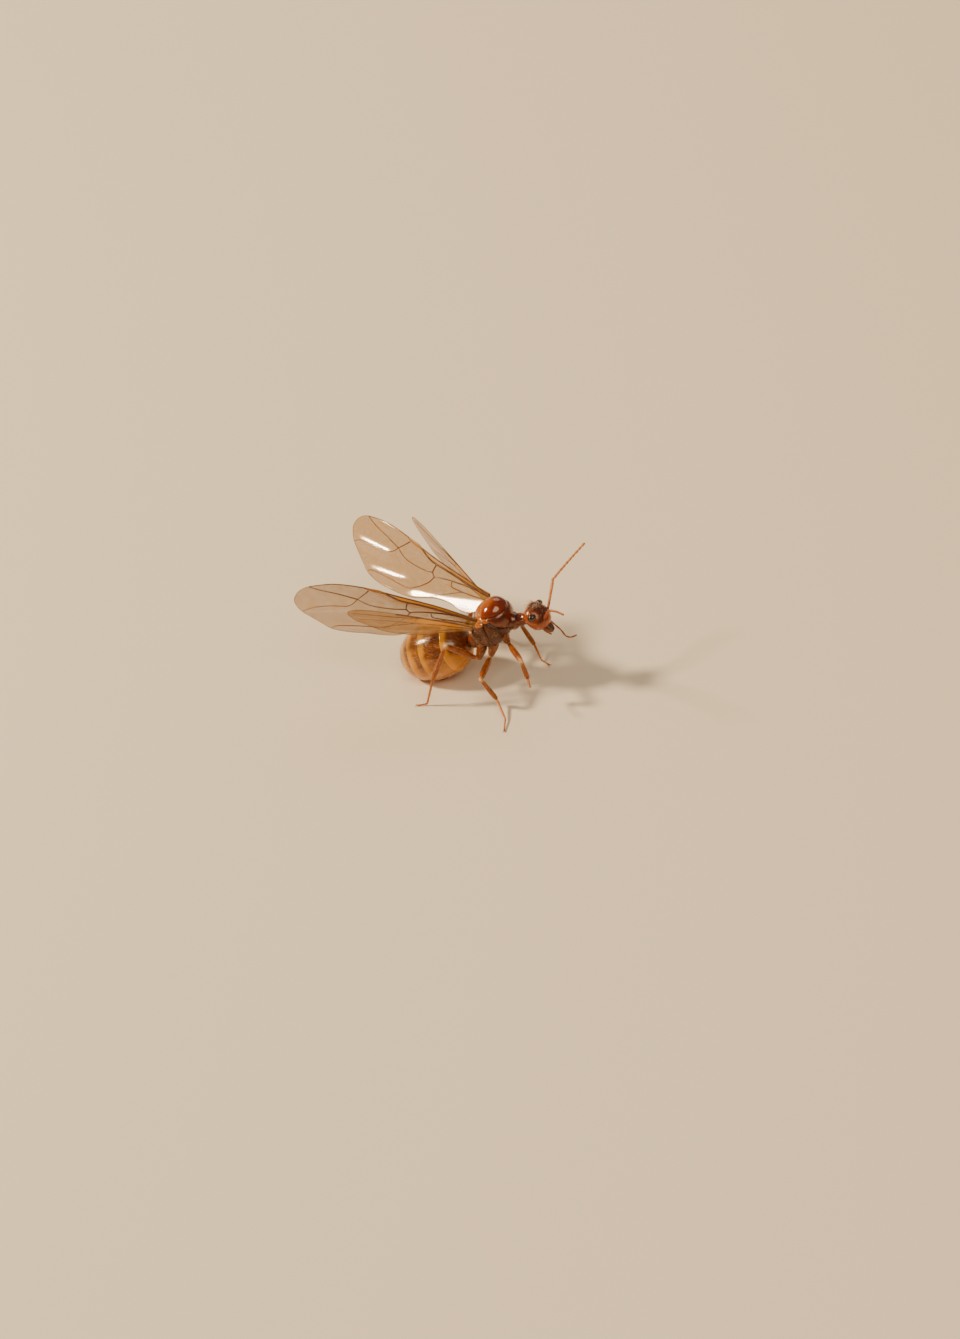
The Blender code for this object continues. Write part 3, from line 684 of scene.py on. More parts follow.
tint(feeler_finish, "root", (0.24, 0.022, 0.002))
# painted shade: darkens the right whip
tint(whip_finish, "painted_shade", (0.20, 0.040, 0.005))
whip_beads = bead_tree()
feeler_skins = []
for label, (base, elbow, middle, tip) in FEELERS.items():
    base, elbow = Vector(base), Vector(elbow)
    line = straight(base, elbow, len(SCAPE_RADII))
    bm = skin(rings_along(line, SCAPE_RADII, 18, 5), beyond(elbow, base, 0.04),
              beyond(base, elbow, 0.03))
    # the red root of each scape; painted shade darkens the right scape all along
    paint(bm, "root", lambda q: max(smooth((0.75 - (q - base).length) / 0.45) * 0.95,
                                    FEELER_PAINTED_SHADE[label]))
    feeler_skins.append(bm.copy())
    settle("scape_shaft_" + label, bm, feeler_finish, ("scape_" + label,))
    spots = through((elbow, middle, tip), 16)
    reach = sum((b - a).length for a, b in zip(spots, spots[1:]))
    curve = bpy.data.curves.new("whip_line", "CURVE")
    curve.dimensions = "3D"
    spline = curve.splines.new("POLY")
    spline.points.add(len(spots) - 1)
    for point, spot in zip(spline.points, spots):
        point.co = (*spot, 1.0)
    bm = run_tree(curve, whip_beads, {"Beads": WHIP_BEADS, "Radius": WHIP_RADIUS[label],
                                      "Length": reach / (WHIP_BEADS - 1),
                                      "Finish": whip_finish})
    # painted shade on the right whip
    paint(bm, "painted_shade", lambda q: FEELER_PAINTED_SHADE[label])
    radii = [WHIP_RADIUS[label] * share for share in (1.0, 1.0, 0.75)]
    feeler_skins.append(skin(rings_along((elbow, middle, tip), radii, 10, 16)))
    settle("whip_" + label, bm, whip_finish, ("funiculus_" + label,))

# --- tegulae ------------------------------------------------------------------------------
# A small scale like clear amber covers the hinge of each forewing.  Behind it three thin
# plates lie on the trunk's side, round the wing's root.
TEGULA_PLACE = (-0.06, 0.92, 3.96)
TEGULA_HALF = (0.21, 0.09, 0.12)
# the thin plates: where they lie in side view, and their half sizes
HINGE_PLATES = (((-0.44, 3.88), (0.25, 0.045, 0.11)), ((-0.36, 3.70), (0.24, 0.05, 0.09)),
                ((-0.58, 3.64), (0.15, 0.05, 0.14)))
HINGE_SLOPE = 25.0


def join(target, bm):
    """Add one mesh to another and let the first go."""
    mesh = bpy.data.meshes.new("joined")
    bm.to_mesh(mesh)
    bm.free()
    target.from_mesh(mesh)
    bpy.data.meshes.remove(mesh)


def trunk_side(x, z):
    """How far out the trunk's side stands at this place in side view."""
    inside = trunk_axes.inverted() @ Vector((x, 0.0, z))
    full = math.sqrt(max(1 - abs(inside.x / TRUNK_HALF[0]) ** 2.6, 0.02))
    high = min(abs(inside.z) / (TRUNK_UP * full), 0.98)
    return TRUNK_HALF[1] * full * math.sqrt(1 - high ** 2)


tegula_finish = shell("tegula_finish", (0.20, 0.030, 0.002), (0.44, 0.12, 0.005), cells=20.0,
                      relief=0.2, smooth=0.14, dull=0.3, glow=0.2, coat=0.5)
for label, side in SIDES.items():
    x, y, z = TEGULA_PLACE
    bm = skin(egg_rows(*TEGULA_HALF, TEGULA_HALF[2], 2, 2, 36, 24))
    move(bm, Matrix.Translation((x, side * y, z)))
    settle("tegula_scale_" + label, bm, tegula_finish, ("tegula_" + label,))
    hinge = bmesh.new()
    for (x, z), (half_x, half_y, half_z) in HINGE_PLATES:
        lobe = skin(egg_rows(half_x, half_y, half_z, half_z, 2.4, 2, 32, 20))
        move(lobe, place((x, 0, z), HINGE_SLOPE))
        for vert in lobe.verts:
            vert.co.y = side * (vert.co.y + trunk_side(vert.co.x, vert.co.z))
        bmesh.ops.recalc_face_normals(lobe, faces=lobe.faces)
        join(hinge, lobe)
    settle("wing_hinge_" + label, hinge, tegula_finish, ())

# --- waist --------------------------------------------------------------------------------
# One low, thick node of amber-brown shell joins thorax and gaster.  It leans forward and
# thins to a blunt crest.
WAIST_HALF = (0.3, 0.31)
WAIST_UP, WAIST_DOWN = 0.46, 0.49
waist_axes = place((-1.14, 0, 2.20), 20.0)


def waist_shape(p):
    crest = smooth(p.z / WAIST_UP)
    return Vector((p.x * (1 - 0.55 * crest) + 0.10 * crest, p.y * (1 - 0.15 * crest), p.z))


waist_finish = shell("waist_finish", (0.11, 0.016, 0.002), (0.27, 0.058, 0.004), cells=30.0,
                     relief=0.35, smooth=0.2, dull=0.38, glow=0.3, coat=0.3)
bm = skin(egg_rows(*WAIST_HALF, WAIST_UP, WAIST_DOWN, 3, 3, 48, 36, waist_shape))
move(bm, waist_axes)
settle("petiole_node", bm, waist_finish, ("petiole",))

# --- gaster -------------------------------------------------------------------------------
# Five telescoping plates.  Each is dark amber and turns to gold along its rear rim,
# which stands a hair proud of the next plate; that gold is partly the rim's own paler
# shell and partly painted glow of the light from behind shining through it.  Lower down
# the shell is thin, and painted glow turns it gold where that light shines through.
GASTER_CENTRE = (-3.10, 0.0, 1.36)
GASTER_PITCH = 21.0
GASTER_HALF = (1.88, 1.40, 1.36)
GASTER_SPLITS = (0.50, -0.12, -0.49, -0.78)    # rear rims, in half lengths
GASTER_FULL = 2.3        # how blunt its ends are
GASTER_TIP = 0.9995      # where its first and last rings stand, in half lengths
GASTER_LOW = 0.004       # its underside is let down flat, so far above the floor
RIM_STEP = 0.03
TUCK, TUCK_BARE = 0.16, 0.028
GASTER_SEAMS = (208.0, 332.0)        # round from the left side, where upper and lower halves meet
RIM_GOLD, RIM_WAVE, RIM_BLUR = 0.39, 0.14, 0.22
# where the painted glow turns the shell golden: its height at the middle, its slope and its blur
GLOW_FRONT, GLOW_REAR = (1.63, -1.1, 0.35), (-0.13, 0.22, 0.7)
gaster_axes = place(GASTER_CENTRE, GASTER_PITCH)
gaster_finish = shell("gaster_finish", (0.10, 0.018, 0.003), (0.41, 0.122, 0.005), cells=24.0,
                      relief=0.18, smooth=0.10, dull=0.25, glow=0.35, coat=0.5)
tint(gaster_finish, "saddle", (0.115, 0.018, 0.002))
# painted glow: gold low down, where the light from behind shines through the thin shell
tint(gaster_finish, "belly_glow", (0.50, 0.172, 0.001))
# gold rims: their own paler shell, brightened with painted glow of the light shining through
tint(gaster_finish, "rim", (0.74, 0.285, 0.003))


def gaster_ring(share, sink, count=112):
    """A ring of the gaster at this share of its half length, sunk below the full form."""
    full = math.sqrt(max(0.0, 1 - abs(share) ** GASTER_FULL))
    ring = []
    for k in range(count):
        a = 2 * math.pi * k / count
        y, z = math.cos(a), math.sin(a)
        seam = sum(groove(a - math.radians(turn), 0.03, 0.02) for turn in GASTER_SEAMS)
        drop = (sink + seam) * min(full * 3, 1)
        ring.append(Vector((share * GASTER_HALF[0], (full * GASTER_HALF[1] - drop) * y,
                            (full * GASTER_HALF[2] - drop) * z)))
    return ring


def tucked_in(q):
    """True on the part of a plate that lies under the next one, where no hair grows."""
    full = math.sqrt(max(0.0, 1 - abs(q.x / GASTER_HALF[0]) ** GASTER_FULL))
    return math.hypot(q.y / GASTER_HALF[1], q.z / GASTER_HALF[2]) < full - TUCK_BARE


def glow_share(q, number):
    """1 where painted glow turns a plate golden: low down, and on the first plate lower in front."""
    height, slope, blur = GLOW_FRONT if number == 1 else GLOW_REAR
    return smooth((height + slope * q.x - q.z) / blur + 0.5)


rims = (GASTER_TIP,) + GASTER_SPLITS + (-GASTER_TIP,)
gaster_skins = []
for number, (front, rear) in enumerate(zip(rims, rims[1:]), start=1):
    last = number == len(rims) - 1
    start = front if number == 1 else min(front + TUCK, 0.99)
    count = max(14, int(abs(start - rear) * 46))
    rows = []
    for i in range(count + 1):
        share = start + (rear - start) * (i / count if number > 1 else (i / count) ** 1.4)
        off = (share - rear) * GASTER_HALF[0]
        under = smooth((share - front) * GASTER_HALF[0] / 0.05) if number > 1 else 0.0
        proud = 0.0 if last else groove(off, 0.22, RIM_STEP * 0.5)
        rows.append(gaster_ring(share, 0.035 * under + (0.0 if number == 1 else 0.014) - proud))
    if not last:
        rows.append(gaster_ring(rear - 0.004, 0.01))
        rows.append(gaster_ring(rear + 0.02, RIM_STEP + 0.02))
        rows.append(gaster_ring(rear + 0.06, RIM_STEP + 0.05))
    bm = skin(rows)
    edge = rear * GASTER_HALF[0]

    def rim_tone(q):
        """1 in the gold along the rear rim (paler shell and painted glow), whose front edge wavers."""
        wave = edge + RIM_GOLD + RIM_WAVE * noise.noise(q * 1.3)
        return smooth((wave - q.x) / RIM_BLUR) * (0.80 + 0.35 * noise.noise(q * 2.2))

    def saddle_tone(q):
        """The dark upper side: even on the first plate, blotched on the others."""
        strength = 0.8 if number == 1 else 0.65 * smooth(0.4 + 1.5 * noise.noise(q * 1.4))
        return (1 - glow_share(q, number)) * strength

    def plate_fur(q):
        """Thinner on the first plate and towards each rear rim."""
        share = (0.35 if number == 1 else 1.0) * (1 - groove(max(q.x - edge, 0), 0.12, 0.7))
        return 0.0 if tucked_in(q) else share

    # the rims' gold: partly paler shell and partly painted glow
    paint(bm, "rim", lambda q: 0.0 if last else rim_tone(q))
    paint(bm, "saddle", saddle_tone)
    # painted glow on the lower shell
    paint(bm, "belly_glow", lambda q: glow_share(q, number) * 0.95)
    paint(bm, "fur", plate_fur)
    move(bm, gaster_axes)
    for vert in bm.verts:
        vert.co.z = max(vert.co.z, GASTER_LOW)
    gaster_skins.append(bm.copy())
    settle("gaster_plate_%d" % number, bm, gaster_finish, ("gaster_%d" % number,))

# --- legs ---------------------------------------------------------------------------------
# Six legs of clear red-amber shell: a stout coxa, a thigh thickest past its middle, a shin
# that widens to a spur, and five small foot joints with two claws.
STAND = 0.05             # height of the middle of a standing toe
LEGS = {
    "leg_front_right": ((0.45, -0.30, 3.05), (0.81, -0.62, 2.56), (1.86, -2.00, 2.63),
                        (1.96, -1.85, 1.52), (2.18, -2.30, 1.56), (2.41, -2.80, 1.75)),
    "leg_mid_right": ((0.05, -0.38, 2.45), (-0.14, -0.70, 1.81), (-0.12, -2.50, 1.77),
                      (0.38, -2.24, 0.50), (1.09, -3.28, 0.14), (1.25, -4.05, STAND)),
    "leg_hind_right": ((-0.55, -0.38, 2.25), (-0.78, -0.72, 1.58), (-1.74, -2.08, 3.30),
                       (-2.55, -2.42, 1.50), (-3.02, -2.49, 0.12), (-3.49, -2.58, STAND)),
    "leg_front_left": ((0.45, 0.30, 3.05), (0.81, 0.62, 2.56), (0.50, 1.80, 2.05),
                       (1.00, 2.00, 0.56), (1.49, 1.35, 0.14), (1.92, 1.13, STAND)),
    "leg_mid_left": ((0.05, 0.38, 2.45), (-0.14, 0.70, 1.81), (-0.45, 2.45, 2.10),
                     (-0.60, 2.42, 0.62), (-0.88, 3.06, 0.14), (-1.20, 3.75, STAND)),
    "leg_hind_left": ((-0.55, 0.38, 2.25), (-0.78, 0.72, 1.58), (-1.80, 2.28, 2.50),
                      (-2.50, 2.66, 0.86), (-3.12, 2.86, 0.14), (-3.86, 3.05, STAND)),
}
THIGH = (0.095, 0.135, 0.15, 0.155, 0.15, 0.135, 0.10)
SHIN = (0.085, 0.095, 0.105, 0.115, 0.12, 0.12, 0.10)
COXA = (0.21, 0.25, 0.23, 0.18, 0.125)
TROCHANTER = 0.085
# the first foot joint, which is as long as the other four together, and then those four
FOOT = (0.052, 0.060, 0.060, 0.057, 0.052, 0.036,
        0.048, 0.034, 0.046, 0.032, 0.044, 0.030, 0.045, 0.036)
CLAW = 0.11
leg_finish = shell("leg_finish", (0.17, 0.028, 0.001), (0.34, 0.080, 0.002), cells=34.0,
                   relief=0.3, smooth=0.14, dull=0.3, glow=0.10, coat=0.25)
tint(leg_finish, "joint", (0.90, 0.56, 0.22))
foot_finish = shell("foot_finish", (0.30, 0.066, 0.006), (0.52, 0.17, 0.030), cells=36.0,
                    relief=0.35, smooth=0.25, dull=0.45, glow=0.2, coat=0.2)
coxa_finish = shell("coxa_finish", (0.10, 0.016, 0.002), (0.25, 0.055, 0.005), cells=32.0,
                    relief=0.4, smooth=0.18, dull=0.34, glow=0.3, coat=0.4)
claw_finish = shell("claw_finish", (0.10, 0.025, 0.006), (0.22, 0.06, 0.012), cells=20.0,
                    relief=0.2, smooth=0.15, dull=0.3, glow=0.2, coat=0.4)
leg_skins = []
for leg, (socket, hip, knee, ankle, ball, toe) in LEGS.items():
    socket, hip, knee, ankle, ball, toe = (Vector(p) for p in (socket, hip, knee, ankle, ball, toe))
    line = straight(socket, hip, len(COXA))
    bm = skin(rings_along(line, COXA, 26, 5), None, beyond(socket, hip, 0.05))
    leg_skins.append(bm.copy())
    settle(leg + "_coxa_cone", bm, coxa_finish, (leg + "_coxa",))

    # the small trochanter is made in one with the thigh
    neckline = hip.lerp(knee, 0.10)
    line = [beyond(socket, hip, -0.02)] + straight(neckline, knee, len(THIGH))
    bm = skin(rings_along(line, (TROCHANTER,) + THIGH, 22, 5), hip, beyond(hip, knee, 0.045))
    paint(bm, "joint", lambda q: bump(q, knee, 0.10, 1.0) + bump(q, neckline, 0.09, 0.6))
    leg_skins.append(bm.copy())
    settle(leg + "_thigh", bm, leg_finish, (leg + "_femur",))

    line = straight(knee, ankle, len(SHIN))
    bm = skin(rings_along(line, SHIN, 20, 5), beyond(ankle, knee, 0.03), beyond(knee, ankle, 0.02))
    paint(bm, "joint", lambda q: bump(q, knee, 0.12, 1.0))
    leg_skins.append(bm.copy())
    inside, down = (ball - ankle).normalized(), (ankle - knee).normalized()
    root = ankle - down * 0.04 + inside * 0.05
    line = (root, root + inside * 0.12 + down * 0.08, root + inside * 0.24 + down * 0.10)
    spur = skin(rings_along(line, (0.02, 0.014, 0.004), 8, 4))
    paint(spur, "joint", lambda q: 0.6)
    join(bm, spur)
    settle(leg + "_shin", bm, leg_finish, (leg + "_tibia",))

    line = straight(ankle, ball, 6) + straight(ball, toe, 9)[1:]
    bm = skin(rings_along(line, FOOT, 14, 3))
    leg_skins.append(bm.copy())
    settle(leg + "_foot", bm, foot_finish, (leg + "_tarsus",))
    ahead = (toe - ball).normalized()
    across = ahead.cross(Vector((0, 0, 1))).normalized()
    claws = bmesh.new()
    for side in (1, -1):
        root = toe + across * 0.015 * side
        bow = root + ahead * 0.06 + across * 0.035 * side + Vector((0, 0, 0.02))
        point = root + ahead * CLAW + across * 0.055 * side - Vector((0, 0, 0.02))
        join(claws, skin(rings_along((root, bow, point), (0.018, 0.013, 0.004), 8, 4)))
    settle(leg + "_claws", claws, claw_finish, ())

# --- wings --------------------------------------------------------------------------------
# Four wings of clear amber film stand on edge, the right ones along the body and the left
# ones spread, with the hindwings outside.  Brown hollow veins stiffen them, and the film is
# puckered between and creased behind.
FOREWING_LENGTH, HINDWING_LENGTH = 8.9, 5.9
FILM = 0.016             # thickness
FILM_ROWS, FILM_COLUMNS = 112, 32
FILM_PUCKER, FOLD_SOFT = 0.018, 0.05
EDGE_VEIN = 0.012        # radius of the fine vein all round each wing
FILM_CLEAR, FILM_DULL, FILM_STIFF = 0.40, 0.52, 0.38    # how much it hides; more in front
FOREWING_OUTLINE = ((0, 0.02), (0.15, 0.055), (0.30, 0.09), (0.45, 0.116), (0.60, 0.14), (0.75, 0.143),
                    (0.88, 0.115), (0.96, 0.072), (1, 0), (0.965, -0.065), (0.86, -0.134),
                    (0.75, -0.174), (0.62, -0.17), (0.45, -0.142), (0.32, -0.095), (0.16, -0.045),
                    (0, -0.035))
# the left forewing's rear lobe, tucked away on the right one, is spread at its root
SPREAD_LOBE = ((0.32, -0.098), (0.21, -0.090), (0.12, -0.108), (0.05, -0.100), (0.01, -0.055),
               (0, -0.035))
HINDWING_OUTLINE = ((0, 0.02), (0.20, 0.035), (0.50, 0.05), (0.80, 0.055), (0.95, 0.035), (1, 0),
                    (0.95, -0.06), (0.80, -0.125), (0.60, -0.165), (0.40, -0.15), (0.20, -0.08),
                    (0, -0.03))
# veins: radius, then points as shares of the wing's length, along it and towards its front edge
FOREWING_VEINS = {
    "costa": (0.036, ((0, 0.012), (0.2, 0.067), (0.41, 0.106), (0.49, 0.122))),
    "radius": (0.066, ((0, 0.005), (0.15, 0.037), (0.30, 0.068), (0.41, 0.083), (0.49, 0.115))),
    "basal": (0.036, ((0.375, 0.075), (0.385, 0.03), (0.367, 0.007))),
    "media_cubitus": (0.044, ((0, 0.0), (0.10, 0.02), (0.20, 0.025), (0.30, 0.02), (0.367, 0.007))),
    "sector_media": (0.030, ((0.385, 0.026), (0.47, 0.018), (0.58, 0.025), (0.649, 0.056))),
    "cross": (0.034, ((0.586, 0.12), (0.62, 0.084), (0.649, 0.056))),
    "sector": (0.030, ((0.649, 0.056), (0.74, 0.072), (0.85, 0.085), (0.912, 0.102))),
    "margin": (0.030, ((0.60, 0.138), (0.70, 0.143), (0.80, 0.136), (0.912, 0.103))),
    "media": (0.024, ((0.649, 0.056), (0.672, 0.028), (0.71, 0.008), (0.80, -0.004),
                      (0.90, -0.03), (0.955, -0.065))),
    "cubitus": (0.030, ((0.367, 0.007), (0.39, -0.03), (0.45, -0.08), (0.52, -0.113),
                        (0.65, -0.115), (0.76, -0.13), (0.80, -0.15))),
    "anal": (0.034, ((0, -0.02), (0.12, -0.016), (0.236, -0.008), (0.25, 0.022))),
    "anal_branch": (0.024, ((0.17, -0.014), (0.232, -0.041), (0.29, -0.07), (0.343, -0.094))),
}
HINDWING_VEINS = {
    "radius": (0.036, ((0, 0.01), (0.2, 0.027), (0.45, 0.040), (0.62, 0.045))),
    "sector": (0.020, ((0.42, 0.036), (0.58, 0.02), (0.8, 0.008), (0.96, 0.0))),
    "media_cubitus": (0.026, ((0, -0.005), (0.22, -0.012), (0.45, -0.022))),
    "cross": (0.018, ((0.45, 0.033), (0.46, 0.0), (0.45, -0.022))),
    "media": (0.016, ((0.45, -0.022), (0.7, -0.035), (0.9, -0.055))),
    "cubitus": (0.018, ((0.45, -0.022), (0.56, -0.06), (0.70, -0.11))),
    "anal": (0.020, ((0, -0.02), (0.16, -0.045), (0.33, -0.09))),
}
STIGMA = ((0.487, 0.113), (0.52, 0.1235), (0.56, 0.128), (0.612, 0.137))
STIGMA_ENDS, STIGMA_SWELL, STIGMA_FLAT = 0.02, 0.075, 0.6
# creases: two ends in the same shares, then depth and half width in mm
FOREWING_CREASES = (((0.60, 0.015), (0.99, -0.056), 0.125, 0.245),
                    ((0.44, -0.064), (0.86, -0.156), 0.125, 0.245),
                    ((0.06, 0.004), (0.37, -0.010), 0.030, 0.06),
                    ((0.2, 0.055), (0.48, 0.10), 0.03, 0.07),
                    ((0.66, 0.08), (0.92, 0.09), -0.03, 0.16))
HINDWING_CREASES = (((0.1, -0.03), (0.75, -0.15), 0.05, 0.12),
                    ((0.3, 0.005), (1.0, -0.03), 0.03, 0.12))
# the film behind this line is folded back along it, at this slope
FOREWING_FOLD = ((0.0, -0.010), (0.58, -0.112), 0.43)
# root, direction of the tip (spread from the body line, then rise), roll, sideways bend of
# the blade in shares of its length, and how far the film bows off flat, in mm
WINGS = {
    "forewing_left": ((-0.33, 0.84, 4.06), 26.8, 5.2, 60.0, -0.047, -0.24),
    "forewing_right": ((-0.49, -0.75, 3.81), 2.4, 6.0, 88.0, 0.0, 0.0),
    "hindwing_left": ((-0.42, 1.17, 3.34), 32.5, 28.5, 97.0, 0.0, 0.0),
    "hindwing_right": ((-0.68, -0.95, 3.56), 15.0, 16.0, 80.0, 0.0, 0.0),
}


def wing_axes(root, side, spread, rise, roll):
    """X runs to the wing's tip, Y to its front edge, Z is square to the film."""
    s, e, r = (math.radians(v) for v in (spread, rise, roll))
    tip = Vector((-math.cos(s) * math.cos(e), side * math.sin(s) * math.cos(e), math.sin(e)))
    flat = Vector((0, 0, 1)).cross(tip).normalized() * -side
    edge = flat * math.cos(r) + tip.cross(flat) * -side * math.sin(r)
    wing = Matrix((tip, edge, tip.cross(edge))).transposed().to_4x4()
    wing.translation = Vector(root)
    return wing


def film_height(along, across, length, creases, fold, bow):
    """How far the film stands off its flat plane, in mm, at a spot in shares of its length."""
    high = bow * 4 * along * (1 - along)
    if fold:
        (x0, y0), (x1, y1), slope = fold
        behind = (y0 + (along - x0) / (x1 - x0) * (y1 - y0) - across) * length / FOLD_SOFT
        soft = behind if behind > 20 else math.log1p(math.exp(behind))
        high -= slope * FOLD_SOFT * soft * smooth((x1 - along) / 0.2 + 0.3) * smooth(along / 0.03)
    for (x0, y0), (x1, y1), depth, width in creases:
        share = min(max((along - x0) / (x1 - x0), 0.0), 1.0)
        off = (across - y0 - share * (y1 - y0)) * length
        fade = smooth((along - x0) / 0.12) * smooth((x1 - along) / 0.12 + 0.3)
        high -= fade * groove(off, width, depth)
    spot = Vector((along * length * 0.3, across * length * 1.7, bow))
    return high + FILM_PUCKER * noise.noise(spot) * smooth(along / 0.1)


film_finish = shell("film_finish", (0.34, 0.135, 0.007), (0.50, 0.235, 0.022), cells=16.0,
                    relief=0.12, smooth=0.12, dull=0.26, glow=0.0, coat=1.0)
# the front edge's gold: the film's deeper amber, brightened with painted glow of the light from behind
tint(film_finish, "front", (0.90, 0.36, 0.010))
film_nodes = film_finish.node_tree.nodes
thick = add(film_finish.node_tree, "ShaderNodeMapRange",
            {"Value": film_nodes["Group"].outputs["Mottle"], "To Min": FILM_CLEAR,
             "To Max": FILM_DULL})
stiff = add(film_finish.node_tree, "ShaderNodeMath",
            {0: film_nodes["Attribute"].outputs["Fac"], 1: FILM_STIFF, 2: thick.outputs["Result"]},
            operation="MULTIPLY_ADD")
feed(film_nodes["Principled BSDF"], {"Alpha": stiff.outputs[0]})
vein_finish = shell("vein_finish", (0.070, 0.018, 0.003), (0.16, 0.045, 0.007), cells=30.0,
                    relief=0.35, smooth=0.2, dull=0.4, glow=0.25, coat=0.2)
stigma_finish = shell("stigma_finish", (0.24, 0.10, 0.02), (0.40, 0.19, 0.045), cells=30.0,
                      relief=0.3, smooth=0.22, dull=0.4, glow=0.4, coat=0.2)

for wing, (root, spread, rise_deg, roll, bend, bow) in WINGS.items():
    fore = wing.startswith("forewing")
    length = FOREWING_LENGTH if fore else HINDWING_LENGTH
    outline = FOREWING_OUTLINE if fore else HINDWING_OUTLINE
    if wing == "forewing_left":
        outline = FOREWING_OUTLINE[:-3] + SPREAD_LOBE
    veins = FOREWING_VEINS if fore else HINDWING_VEINS
    creases = FOREWING_CREASES if fore else HINDWING_CREASES
    fold = FOREWING_FOLD if fore else None
    axes = wing_axes(root, SIDES[wing.split("_")[1]], spread, rise_deg, roll)

    def on_film(spot, lift=0.0):
        """The place in the ant's axes of a spot on the film, given in shares of its length."""
        along, across = spot[0], spot[1]
        high = film_height(along, across, length, creases, fold, bow) + lift
        across += bend * 4 * along * (1 - along)
        return axes @ Vector((along * length, across * length, high))

    edge = through([(*knot, 0) for knot in outline], 14)
    tip = max(range(len(edge)), key=lambda i: edge[i].x)
    front, rear = edge[:tip + 1], edge[:tip - 1:-1]
    rows = []
    for i in range(FILM_ROWS + 1):
        ends = []
        for half in (front, rear):
            spot = (len(half) - 1) * i / FILM_ROWS
            k = min(int(spot), len(half) - 2)
            ends.append(half[k].lerp(half[k + 1], spot - k))
        chord = straight(*ends, FILM_COLUMNS + 1)
        rows.append([on_film(q, FILM / 2) for q in chord]
                    + [on_film(q, -FILM / 2) for q in chord[::-1]])
    bm = skin(rows[:-1], None, on_film(edge[tip]))
    inverse = axes.inverted()
    slant = 0.16 if fore else -0.10

    def front_amber_glow(q):
        """1 along the front edge, from the root to past the middle: deeper amber with painted glow."""
        spot = inverse @ q
        ahead = smooth((spot.y - slant * spot.x) / (0.05 * length) + 0.5)
        return ahead * smooth((0.60 - spot.x / length) / 0.25) * 0.9

    # deeper amber with painted glow along each front edge
    paint(bm, "front", front_amber_glow)
    settle(wing + "_film", bm, film_finish, (wing,))

    frame_line = [on_film(q) for q in edge[::7]]
    net = skin(rings_along(frame_line, [EDGE_VEIN] * len(frame_line), 6, 3))
    for radius, points in veins.values():
        line = [on_film(q) for q in through([(*knot, 0) for knot in points], 4)]
        taper = [radius * (1 - 0.35 * i / (len(line) - 1)) for i in range(len(line))]
        join(net, skin(rings_along(line, taper, 8, 2)))
    settle(wing + "_veins", net, vein_finish, ())
    if fore:
        line = [on_film(q) for q in through([(*knot, 0) for knot in STIGMA], 4)]
        widths = [STIGMA_ENDS + STIGMA_SWELL * math.sin(math.pi * i / (len(line) - 1)) ** 0.7
                  for i in range(len(line))]
        rows = rings_along(line, widths, 16, 2)
        face = axes.to_3x3().col[2]
        for row in rows:
            heart = sum(row, Vector()) / len(row)
            for q in row:
                q -= face * (q - heart).dot(face) * STIGMA_FLAT
        settle(wing + "_stigma", skin(rows), stigma_finish, ())

# --- hairs --------------------------------------------------------------------------------
# Fine pale hairs, each a thin bent cone.  Short ones lie back along the gaster, the sides
# of the trunk and the limbs; longer ones stand up along the back and behind the head.
HAIR_PATCH = 0.003       # width of one hair's place on its skin's unwrap
HAIR_SHORTEST, HAIR_LONGEST = 0.6, 1.25
HAIR_BEND = 0.25         # how far its tip leans over, in lengths
HAIR_STRAY = 0.22


